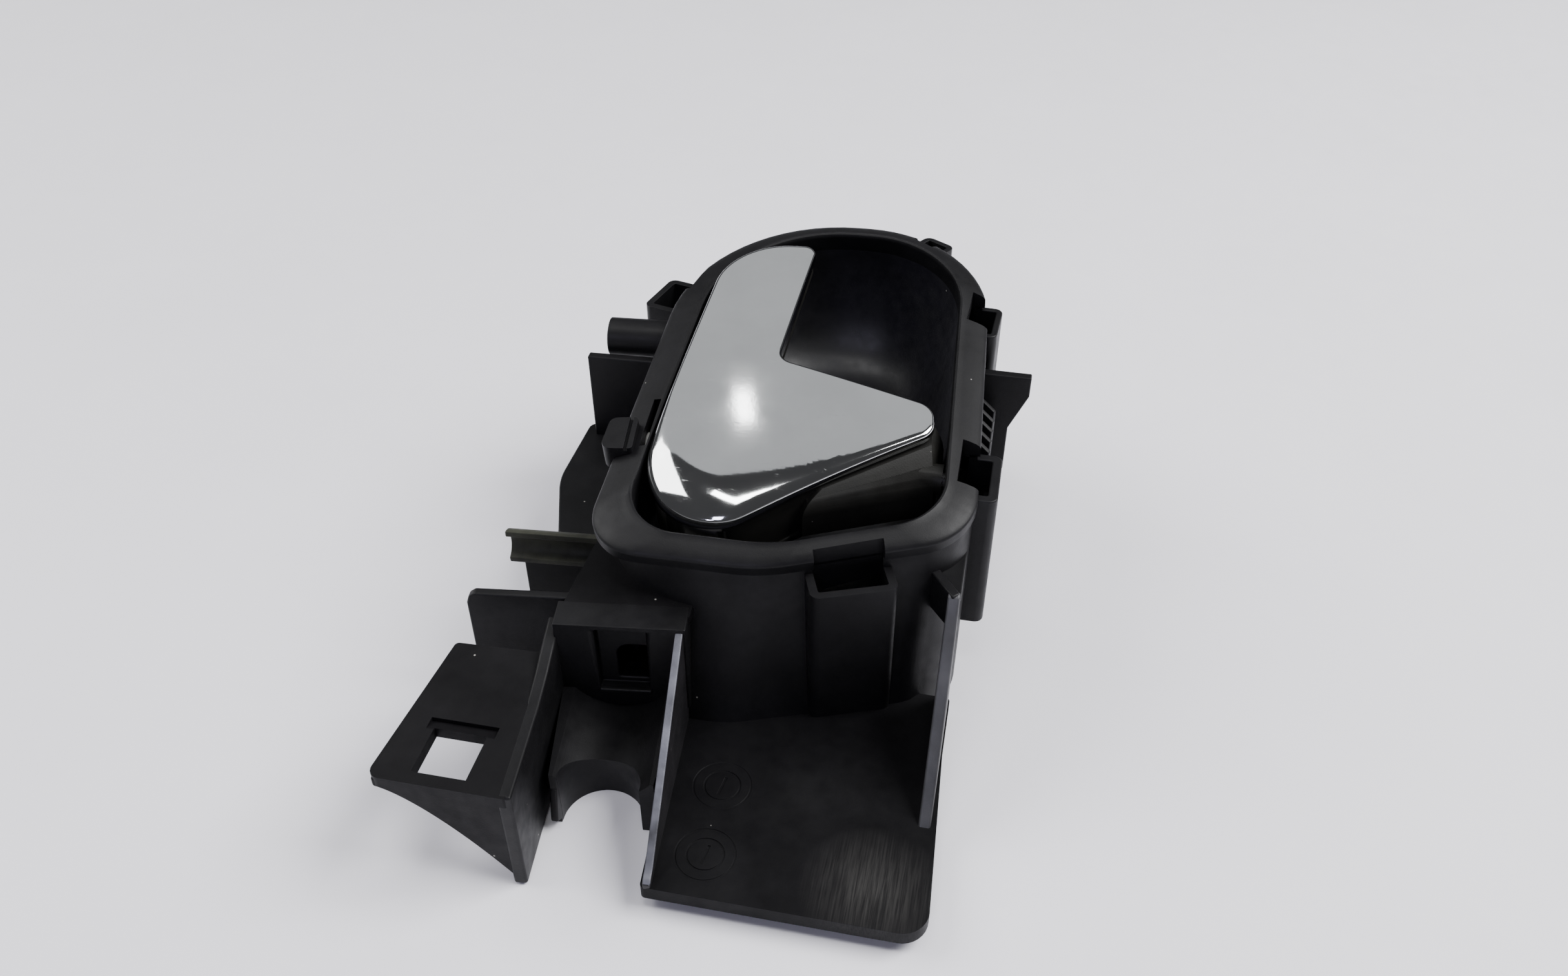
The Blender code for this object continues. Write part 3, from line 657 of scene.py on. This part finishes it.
def clip_towers(walls, clearance):
    """The pockets for trim clips, each with its notch through the rim."""
    for name, place, turn, (width, reach), wall, (low, high) in CLIP_TOWERS:
        stand = Matrix.Translation((*place, 0)) @ Matrix.Rotation(math.radians(turn), 4, "Z")
        half = width / 2.0
        tower = slab(name, pocket_outline(half, reach, wall), low, high, stand)
        combine(tower, clearance, keep=True)
        dress(tower, HOUSING, (name,), 0.4)
        inner = half - wall
        mouth = ((-inner, -3.0), (inner, -3.0), (inner, reach), (-inner, reach))
        notch = slab("notch", mouth, high - CLIP_NOTCH, high + 20.0, stand)
        for item in walls:
            combine(item, notch, keep=True)
        bpy.data.objects.remove(notch, do_unlink=True)
        tooth = block(name.replace("tower", "tooth"), (inner * 1.2, 1.4, 5.0),
                      (0, reach - wall - 0.5, high - CLIP_TOOTH), 0.0, stand)
        dress(tooth, HOUSING, (), 0.3)


def rim_details(rim):
    """The raised seat over the pin's left end with its slot, and the step beside the upper arm."""
    corners = ((-42.6, -33.6, 2.0), (-35.4, -32.6, 1.0), (-36.4, -22.8, 1.0), (-42.6, -24.0, 2.0))
    seat = slab("pin_seat", rounded(corners, 5), -5.5, 1.0, ON_BEZEL)
    combine(seat, block("pin_groove", (0.8, 14.0, 1.6), (-37.4, -28.2, 1.0), 0.1, ON_BEZEL))
    dress(seat, HOUSING, (), 0.6)
    combine(rim, block("rim_step", (4.4, 8.6, 3.0), (-38.4, 7.6, 0.6), 0.1, ON_BEZEL))
    combine(rim, block("rim_slot", (1.7, 15.0, 9.0), (-34.0, -22.6, 0.0), 0.03, ON_BEZEL))


def housing_shell():
    """The rim, the skirt and the bowl, cut for the clip pockets and the bushes."""
    rim, wall, bowl = rim_band(), skirt_wall(), finger_bowl()
    foot = foot_ring(INTO_WALL)
    below = [Vector((p.x, p.y, -5.0)) for p in foot]
    above = [bezel_ring(OUTER_RIM, INTO_WALL, height) for height in (8.0, -RIM_EDGE)]
    clearance = loft("clearance", [*above, foot, below])
    clip_towers((rim, wall, bowl), clearance)
    bpy.data.objects.remove(clearance, do_unlink=True)
    rim_details(rim)
    for low, high, items in ((-36.5, -31.0, (rim, wall, bowl)), (33.0, 35.4, (bowl,))):
        seat = turned("bush_seat", ((low, BUSH_SEAT_RADIUS), (high, BUSH_SEAT_RADIUS)), ON_PIN)
        for item in items:
            combine(item, seat, keep=True)
        bpy.data.objects.remove(seat, do_unlink=True)
    dress(rim, HOUSING, ("bezel_rim",), 0.25, 2, angle=38)
    dress(wall, HOUSING, ("skirt",), 0.3, 2, angle=38)
    dress(bowl, BOWL, ("bowl",), 0.25, 2, angle=50)


# ---------------------------------------------------------------- plate, channel and bracket

def ring_cutter(centre, radius, width, depth):
    """A shallow round groove for the plate's top."""
    low, high = PLATE_TOP - depth, PLATE_TOP + 1.0
    rings = []
    for r, z in ((radius - width, low), (radius, low), (radius, high), (radius - width, high)):
        rings.append([Vector((centre[0] + r * math.cos(a), centre[1] + r * math.sin(a), z))
                      for a in circle_angles(48)])
    return loft("groove", rings, endless=True)


def fixing_plate():
    """The plate, with two plain round insert marks and no lettering."""
    plate = slab("fixing_plate", rounded(PLATE, 8), PLATE_BOTTOM, PLATE_TOP)
    for centre, depth in (((9.4, 27.8), 0.16), ((10.1, 10.4), 0.24)):
        combine(plate, ring_cutter(centre, INSERT_OUTER, 0.4, depth * 0.7))
        combine(plate, ring_cutter(centre, INSERT_INNER, 0.45, depth))
        combine(plate, block("mark", (0.6, 4.6, 2.0), (*centre, PLATE_TOP + 1.0 - depth), -0.15))
    dress(plate, PLATE_FINISH, ("base_plate",), 0.4)


def plate_walls():
    """The tall rib beside the channel and the wall on the right, both with painted light on their top faces.
    """
    low = PLATE_TOP - 0.5
    profile = ((0.0, low), (46.0, low), (46.0, SHELF_TOP), (43.6, 33.0), (3.0, 8.6), (1.2, 8.2), (0.0, 7.4))
    rib = slab("tall_rib", profile, -0.9, 0.8, upright(0.8, 0.5, math.radians(5.0)))
    # The rib's top faces take the painted highlight.
    dress(rib, RUBBED, ("channel_rib",), top=PAINTED_TOP_HIGHLIGHT)
    profile = ((25.0, low), (61.4, low), (61.4, 39.6), (59.8, 39.2), (56.0, 34.4), (26.6, 7.2))
    wall = slab("plate_side_wall", profile, -1.3, 1.3, upright(52.4, 0.0))
    # The wall's top faces take the painted top light.
    dress(wall, RUBBED, ("side_wall",), 0.45, top=PAINTED_TOP_LIGHT)


def shoulder():
    """The level shelf that fills the corner between the cable tower and the rounded skirt."""
    outline = ((-29.6, 44.6), (-2.0, 48.4), (-2.0, 52.0), (-8.0, 66.0), (-22.0, 80.0), (-28.2, 80.0))
    shelf = slab("shoulder", outline, 31.4, SHELF_TOP)
    skirt = loft("inside", [bezel_ring(SKIRT_TOP, INTO_WALL, SKIRT_HEIGHT), foot_ring(INTO_WALL)])
    combine(shelf, skirt)
    dress(shelf, SATIN, (), 0.4)
    side = slab("shoulder_side", ((44.8, 0.0), (79.8, 0.0), (79.8, 32.6), (44.8, 32.6)), -0.9, 0.9,
                upright(-30.4, 0.0, math.radians(-2.3)))
    dress(side, HOUSING, (), 0.4)


def cable_channel():
    """The channel's floor: a shallow trough, its round notch with a deep wall, and the small tongue."""
    outline = ((-24.2, 16.6), (-2.4, 18.4), (-3.6, 46.0), (-29.6, 42.6))
    floor = slab("channel_trough", outline, 0.0, 15.0)
    along = Matrix.Translation((-15.0, 31.0, 22.6)) @ Matrix.Rotation(math.pi / 2 + CHANNEL_TURN, 4, "Z")
    combine(floor, turned("trough", ((-34.0, TROUGH_RADIUS), (34.0, TROUGH_RADIUS)), along, 96))
    x, y = NOTCH_CENTRE
    circle = [(x + NOTCH_RADIUS * math.cos(a), y + NOTCH_RADIUS * math.sin(a)) for a in circle_angles(72)]
    combine(floor, slab("notch_round", circle, -5.0, 30.0))
    combine(floor, block("notch_mouth", (2 * NOTCH_RADIUS, 12, 40), (x, 11.4, 5)))
    combine(floor, block("floor_hollow", (17.0, 13.0, 16), (-16.6, 36.2, -0.6), CHANNEL_TURN))
    dress(floor, HOUSING, ("channel_floor",), 0.3)
    profile = ((14.6, 2.6), (17.4, 0.4), (24.0, 0.4), (24.0, 11.0), (16.4, 10.6))
    tongue = slab("notch_tongue", profile, -0.8, 0.8, upright(-23.0, 0.0, math.radians(2)))
    dress(tongue, HOUSING, (), 0.4)
    profile = ((0.4, 0.3), (46.0, 0.3), (46.0, 31.2), (40.0, 30.2), (32.0, 28.4), (24.0, 27.5), (0.4, 27.5))
    side = slab("channel_side", profile, -1.4, 1.4, upright(-25.8, 0.0, math.radians(6.6)))
    dress(side, HOUSING, ("channel_wall",), 0.6, 4)


def bracket():
    """The bracket's top with its square hole and shallow step, and its hollowed front face."""
    top = slab("bracket_top", rounded(BRACKET, 6), BRACKET_TOP - BRACKET_THICKNESS, BRACKET_TOP - 0.02)
    combine(top, block("square_hole", (HOLE_SIDE, HOLE_SIDE, 12), (*HOLE_CENTRE, BRACKET_TOP)))
    stand = upright(HOLE_CENTRE[0], HOLE_CENTRE[1] + HOLE_SIDE / 2.0 - 0.4)
    stand = stand @ Matrix.Translation((0.0, BRACKET_TOP - 0.05, 0.0))
    combine(top, slab("step", ((0.0, 0.0), (2.8, -1.0), (3.2, 4.0), (0.0, 4.0)), -7.2, 7.2, stand))
    dress(top, SATIN, ("bracket_plate",), 0.6, 4)
    left, right, high = -53.2, -25.2, BRACKET_TOP - 0.8
    curve = []
    steps = 24
    for k in range(steps + 1):
        share = k / steps
        curve.append((left + (right - left) * share, high - 2.6 - (high - 2.9) * share ** 1.5))
    front = slab("bracket_front", curve + [(right, high), (left, high)], -1.3, 1.3, facing(0.0, 1.75))
    dress(front, SATIN, ("bracket_web",), 0.6, 4)


def cable_tower():
    """The thick wall at the channel's end: a deep recess, a round-cornered window and a ledge."""
    stand = Matrix.Translation((-16.8, 44.6, 0)) @ Matrix.Rotation(CHANNEL_TURN, 4, "Z")
    tower = slab("tower", ((-13.4, -2.4), (15.0, -2.4), (15.0, 5.0), (-13.4, 5.0)), 10.0, 34.0, stand)
    combine(tower, block("recess", (11.0, 4.0, 17.5), (-15.6, 42.8, 24.0), CHANNEL_TURN))
    window = rounded(((-17.4, 16.6, 0.5), (-10.9, 16.6, 0.5), (-10.9, 26.4, 0.6), (-17.4, 26.4, 2.8)), 6)
    combine(tower, slab("window", window, -12.0, 12.0, facing(0.0, 45.0)))
    dress(tower, HOUSING, ("cable_tower",), 0.4)
    ledge = block("tower_ledge", (11.4, 1.2, 1.0), (-15.4, 42.4, 15.0), CHANNEL_TURN)
    dress(ledge, HOUSING, (), 0.3)
    profile = ((-21.6, 5.0), (1.6, 5.0), (1.6, 33.2), (-19.6, 33.2), (-21.0, 32.2), (-21.6, 30.4))
    flange = slab("channel_flange", profile, -1.1, 1.1, facing(-30.4, 50.4, CHANNEL_TURN))
    dress(flange, HOUSING, ("rear_flange",), 0.45)


# ---------------------------------------------------------------- left and right sides

def half_pipe(start, end):
    """The section of a guide arm: part of a pipe's wall, from one angle to another."""
    outer, inner = [], []
    hollow = ARM_RADIUS - ARM_WALL
    steps = 24
    for k in range(steps + 1):
        angle = math.radians(start + (end - start) * k / steps)
        outer.append((ARM_RADIUS * math.cos(angle), ARM_RADIUS * math.sin(angle)))
        inner.append((hollow * math.cos(angle), hollow * math.sin(angle)))
    return outer + inner[::-1]


def left_side():
    """The two cable guide arms, the web and the plate beside them, and the level flange."""
    # The lower arm's plastic carries a painted reflection of the table in its olive tone, besides real dust.
    for name, node, (x, y, z), length, arc, finish in (
            ("lower_arm", "lower_guide_arm", (-50.0, 66.0, 29.6), 30.0, (-80, 85), DUST_AND_PAINTED_REFLECTION),
            ("upper_arm", "upper_guide_arm", (-42.4, 127.0, 50.6), 25.0, (5, 238), HOUSING)):
        profile = [(py, pz + z) for py, pz in half_pipe(*arc)]
        dress(slab(name, profile, 0.0, length, upright(x, y, ARM_TURN)), finish, (node,), 0.3)
    web = slab("lower_arm_web", ((-17.0, 13.4), (8.0, 13.4), (8.0, 25.6), (-17.0, 25.6)), -1.1, 1.1,
               facing(-30.0, 70.0, ARM_TURN))
    dress(web, HOUSING, ("arm_web",), 0.35)
    plate = slab("left_plate", ((-19.3, 24.4), (8.0, 24.4), (8.0, 49.0), (-19.3, 49.0)), -1.2, 1.2,
                 facing(-27.0, 121.0, math.radians(3)))
    dress(plate, HOUSING, ("side_plate",), 0.4)
    corners = ((-42.4, 78.0, 3), (-22.0, 78.0, 2), (-22.0, 123.6, 2), (-49.0, 123.6, 2),
               (-49.4, 99.0, 24))
    flange = slab("side_flange", rounded(corners, 10), FLANGE_BOTTOM, FLANGE_TOP)
    dress(flange, HOUSING, ("base_flange",), 0.45)


def right_side():
    """The bracket with its row of fins, and the web and the lip at the corner beside the side wall."""
    profile = ((-10.0, 24.0), (5.0, 24.0), (5.0, 36.8), (9.2, 46.6), (9.2, 52.0), (-10.0, 52.0))
    dress(slab("side_bracket", profile, -1.2, 1.2, facing(54.4, 127.4)), HOUSING, ("right_bracket",), 0.35)
    profile = ((-7.0, 36.0), (3.4, 37.0), (3.4, 44.0), (-7.0, 50.0))
    for k in range(FIN_COUNT):
        stand = facing(52.8, 107.0 + FIN_PITCH * k, math.radians(-24))
        dress(slab("side_fin_%d" % (k + 1), profile, -0.6, 0.6, stand), HOUSING, (), 0.25)
    outline = ((43.4, 70.4), (52.6, 60.6), (53.9, 61.2), (53.9, 82.0), (42.0, 86.0))
    dress(slab("corner_web", outline, 36.6, 38.6), HOUSING, ("corner_gusset",), 0.4)
    lip = slab("corner_lip", ((52.2, 59.4), (53.7, 60.9), (44.4, 73.6), (42.4, 72.0)), 30.0, 39.6)
    dress(lip, HOUSING, (), 0.45)


# ---------------------------------------------------------------- lever

def cap_height(point, distance):
    """The cap's top: a slight crown, a big round nose near its left corner, and small edges elsewhere."""
    away = point - NOSE
    nose = math.exp(-(away.x / 24.0) ** 2 - (away.y / 17.0) ** 2)
    edge = math.exp(-((point.x - 6.0) / 26.0) ** 2 - ((point.y + 36.0) / 17.0) ** 2)
    # How far in from the outline the round edge starts, and how far it falls
    width = 0.8 + 1.4 * edge + 12.5 * nose
    drop = 0.9 + 0.9 * edge + 4.4 * nose
    crown = -0.0006 * (point.x + 12.0) ** 2 - 0.0004 * (point.y + 10.0) ** 2
    inward = max(0.0, 1.0 - distance / width)
    return CAP_CROWN + crown - drop * (1.0 - math.sqrt(max(0.0, 1.0 - inward * inward)))


def cap_points(outline):
    """The cap's points in plan: rings that follow its edge closely, and a grid inside them."""
    points, edges = [], []
    for distance in (0.0, 0.06, 0.2, 0.45, 0.8, 1.25, 1.8, 2.5):
        ring = outline if distance == 0.0 else spread(rounded(inset(LEVER, distance), 20), 0.9)
        first = len(points)
        points += ring
        edges += [(first + i, first + (i + 1) % len(ring)) for i in range(len(ring))]
    inner = spread(rounded(inset(LEVER, CAP_BORDER), 10), 2.0)
    x = CAP_LOW[0]
    while x < CAP_HIGH[0]:
        y = CAP_LOW[1]
        while y < CAP_HIGH[1]:
            point = Vector((x, y))
            if edge_distance(point, outline) > CAP_BORDER + 0.2 and is_inside(point, inner):
                points.append(point)
            y += CAP_GRID
        x += CAP_GRID
    return points, edges


def lever_cap():
    """The chromed cover: its top over a fine triangulation, its lip wrapped round the carrier."""
    outline = spread(rounded(LEVER, 20), 1.0)
    points, edges = cap_points(outline)
    result = delaunay_2d_cdt(points, edges, [], 1, 1e-5)
    bm = bmesh.new()
    top = []
    for p in result[0]:
        height = cap_height(p, edge_distance(p, outline))
        top.append(bm.verts.new(ON_BEZEL @ Vector((p.x, p.y, height))))
    for face in result[2]:
        bm.faces.new([top[i] for i in face])
    rim = [top[i] for i in range(len(outline))]
    lips = []
    for distance, depth in ((0.0, 0.7), (0.25, 0.95), (0.6, 0.7)):
        lip = []
        for p, q in zip(outline, drawn_to(inset(LEVER, distance), outline)):
            z = min(-0.1, cap_height(p, 0.0) - depth)
            lip.append(bm.verts.new(ON_BEZEL @ Vector((q.x, q.y, z))))
        lips.append(lip)
    inside = [bm.verts.new(ON_BEZEL @ Vector((q.x, q.y, -0.6)))
              for q in drawn_to(inset(LEVER, 0.62), outline)]
    for lower, upper in zip([rim, *lips], [*lips, inside]):
        for i in range(len(outline)):
            j = (i + 1) % len(outline)
            bm.faces.new((upper[i], upper[j], lower[j], lower[i]))
    bm.faces.new(inside)
    return to_object("chrome_cap", bm)


def pin_fairing():
    """The smooth sloping front of the carrier, which covers the pin's right boss."""
    top = ((8.0, -35.4), (29.6, -18.6), (29.0, -12.0), (2.0, -30.0))
    foot = ((4.0, -39.4), (31.4, -28.4), (32.2, -14.0), (0.0, -30.0))
    slope = ((0.0, -1.2), (0.22, -1.9), (0.46, -2.8), (0.68, -3.9), (0.85, -5.3), (0.96, -7.2), (1.0, -13.5))
    rings = []
    for share, z in slope:
        ring = [(a + (c - a) * share, b + (d - b) * share) for (a, b), (c, d) in zip(top, foot)]
        rings.append([bezel_point(x, y, z) for x, y in ring])
    return loft("fairing", rings)


def lever_carrier():
    """The black body below the cap: an L plate, a hollow deep part, bosses and the crank."""
    top = CARRIER_TOP
    carrier = slab("carrier", rounded(inset(LEVER, 0.75), 14), top - 3.6, top, ON_BEZEL)
    deep = slab("deep", rounded(inset(DEEP_BODY, 0.8), 14), CARRIER_FOOT, top - 1.0, ON_BEZEL)
    combine(carrier, deep, "UNION")
    combine(carrier, slab("hollow", rounded(inset(DEEP_BODY, 3.0), 14), -18.0, -4.5, ON_BEZEL))
    combine(carrier, pin_fairing(), "UNION")
    crank = block("crank", (5.0, 2 * CRANK_HALF, 28.0), (CRANK_X, 0.0, -9.5), 0.0, ON_PIN)
    combine(carrier, crank, "UNION")
    for low, high in ((-16.0, -12.0), (12.0, 16.0), (17.0, 32.9)):
        combine(carrier, turned("boss", ((low, BOSS_RADIUS), (high, BOSS_RADIUS)), ON_PIN), "UNION")
    combine(carrier, turned("pin_bore", ((-45.0, PIN_BORE), (45.0, PIN_BORE)), ON_PIN, 24))
    combine(carrier, block("spring_pocket", (13.0, 17.0, 12.0), (0.0, 2.5, -1.6), 0.0, ON_PIN))
    combine(carrier, block("cable_slot", (1.8, 9.0, 7.0), (CRANK_X, 0.0, -23.6), 0.0, ON_PIN))
    dress(carrier, CARRIER, ("lever_carrier",), 0.3, 2, body="lever")


def buffer(name, node, half_width, half_height, centre):
    """A rubber pad that faces the crank."""
    corners = [(x * half_width, y * half_height, 0.7) for x, y in ((-1, -1), (1, -1), (1, 1), (-1, 1))]
    stand = ON_PIN @ Matrix.Translation(centre) @ Matrix.Rotation(math.pi / 2, 4, "X")
    pad = slab(name, rounded(corners, 4), -1.5, 1.5, stand)
    dress(pad, RUBBER, (node,), 0.4)


def coil_spring():
    """The torsion spring's wire as a mesh tube along its coil and legs."""
    radius, pitch, start, steps = SPRING_RADIUS, SPRING_PITCH, SPRING_START, 28
    line = [Vector((start, radius + 6.5, 2.0))]
    for k in range(SPRING_TURNS * steps + 1):
        angle = 2.0 * math.pi * k / steps
        line.append(Vector((start + pitch * k / steps, radius * math.cos(angle), radius * math.sin(angle))))
    line.append(Vector((start + pitch * SPRING_TURNS, radius + 0.5, -7.0)))
    rings = []
    for k, point in enumerate(line):
        along = (line[min(k + 1, len(line) - 1)] - line[max(k - 1, 0)]).normalized()
        side = along.cross(Vector((1, 0, 0))).normalized()
        up = side.cross(along)
        rings.append([ON_PIN @ (point + (side * math.cos(a) + up * math.sin(a)) * SPRING_WIRE)
                      for a in circle_angles(10)])
    return loft("coil_spring", rings)


def hinge():
    """The pin with its chamfered ends and shallow waist, its bushes, the spring and the buffers."""
    pin = ((-33.9, 1.2), (-33.5, PIN_RADIUS), (-8.0, PIN_RADIUS), (-7.7, 1.5), (9.7, 1.5),
           (10.0, PIN_RADIUS), (34.9, PIN_RADIUS), (35.3, 1.2))
    dress(turned("cross_pin", pin, ON_PIN, 32), STEEL, ("hinge_pin",), 0.0)
    for name, node, low, high in (("left_bush", "left_pin_bush", -35.5, -31.9),
                                  ("right_bush", "right_pin_bush", 33.6, 35.6)):
        bush = ((low, PIN_BORE), (low, 2.4), (low + 0.2, 2.6), (high - 0.9, 2.6), (high - 0.7, 2.45),
                (high - 0.2, 2.45), (high, 2.3), (high, PIN_BORE))
        dress(turned(name, bush, ON_PIN, 40, True), NYLON, (node,), 0.0)
    dress(coil_spring(), STEEL, ("return_spring",), 0.0)
    buffer("rest_pad", "rest_buffer", 3.5, 2.5, (-24.9, -CRANK_HALF - 1.9, -19.5))
    reach = TRAVEL_PAD_DROP * math.tan(LEVER_TRAVEL) + (CRANK_HALF + 1.5) / math.cos(LEVER_TRAVEL) + 2.4
    buffer("travel_pad", "travel_buffer", 4.3, 3.0, (-25.7, reach, -TRAVEL_PAD_DROP))


# ---------------------------------------------------------------- stage

def floor():
    """The pale board that the handle lies on."""
    bm = bmesh.new()
    bmesh.ops.create_grid(bm, x_segments=2, y_segments=2, size=6.0)
    mesh = bpy.data.meshes.new("floor")
    bm.to_mesh(mesh)
    bm.free()
    mesh.materials.append(floor_finish())
    item = bpy.data.objects.new("floor", mesh)
    bpy.context.scene.collection.objects.link(item)


def lamp(name, place, aim, size, power, colour=(1.0, 1.0, 1.0)):
    """A soft rectangular light that faces a point."""
    light = bpy.data.lights.new(name, "AREA")
    light.shape = "RECTANGLE"
    light.size, light.size_y = size
    light.energy = power
    light.color = colour
    item = bpy.data.objects.new(name, light)
    item.location = place
    item.rotation_euler = (Vector(aim) - Vector(place)).to_track_quat("-Z", "Y").to_euler()
    bpy.context.scene.collection.objects.link(item)


def reflected(x, y, height, reach):
    """The place, this far away, that the camera sees in the lever's face at a point of the bezel."""
    point = PLACE @ bezel_point(x, y, height)
    normal = (ON_BEZEL.to_3x3() @ Vector((0, 0, 1))).normalized()
    return point + (point - PLACE @ CAMERA_PLACE).reflect(normal).normalized() * reach


def room():
    """Dim above, and pale near the horizon, where the floor ends."""
    world = bpy.data.worlds.new("room")
    world.use_nodes = True
    nodes, links = world.node_tree.nodes, world.node_tree.links
    back = nodes["Background"]
    back.inputs["Color"].default_value = (0.95, 0.95, 1.0, 1.0)
    direction = nodes.new("ShaderNodeTexCoord")
    split = nodes.new("ShaderNodeSeparateXYZ")
    fade = nodes.new("ShaderNodeMapRange")
    set_range(fade, 0.0, 0.12, 0.6, 0.06)
    links.new(direction.outputs["Generated"], split.inputs["Vector"])
    links.new(split.outputs["Z"], fade.inputs["Value"])
    links.new(fade.outputs["Result"], back.inputs["Strength"])
    bpy.context.scene.world = world


def studio():
    """Soft lights above both sides, and those whose reflections show in the lever and the bowl."""
    middle = HINGE
    lamp("key", middle + Vector((0.86, 0.22, 1.0)), middle, (0.8, 0.8), 33.0)
    lamp("fill", middle + Vector((-1.05, 0.12, 0.85)), middle, (0.9, 0.9), 15.5)
    lamp("strip", middle + Vector((-0.08, -0.17, 1.17)), middle, (0.62, 0.15), 4.0)
    lamp("low", middle + Vector((-0.11, -0.98, 0.56)), middle, (0.3, 0.3), 2.6, (0.8, 0.78, 1.0))
    lamp("panel", reflected(-10.0, 25.0, 3.0, 1.3), middle, (2.4, 0.62), 2.3, (0.95, 0.97, 1.0))
    shine = (-12.8, -21.0)
    lamp("pane", reflected(*shine, 3.0, 1.05), PLACE @ bezel_point(*shine), (0.022, 0.05), 0.03)
    room()


def camera():
    """Above the plate's near right corner, looking down along the handle."""
    data = bpy.data.cameras.new("camera")
    data.sensor_width = 36.0
    data.lens = CAMERA_LENS
    data.clip_start = 0.01
    item = bpy.data.objects.new("camera", data)
    item.location = PLACE @ CAMERA_PLACE
    item.rotation_euler = CAMERA_TURN
    bpy.context.scene.collection.objects.link(item)
    bpy.context.scene.camera = item


housing_shell()
fixing_plate()
plate_walls()
shoulder()
cable_channel()
bracket()
cable_tower()
left_side()
right_side()
dress(lever_cap(), CHROME, ("lever_cap",), 0.0, body="lever")
lever_carrier()
hinge()
floor()
studio()
camera()
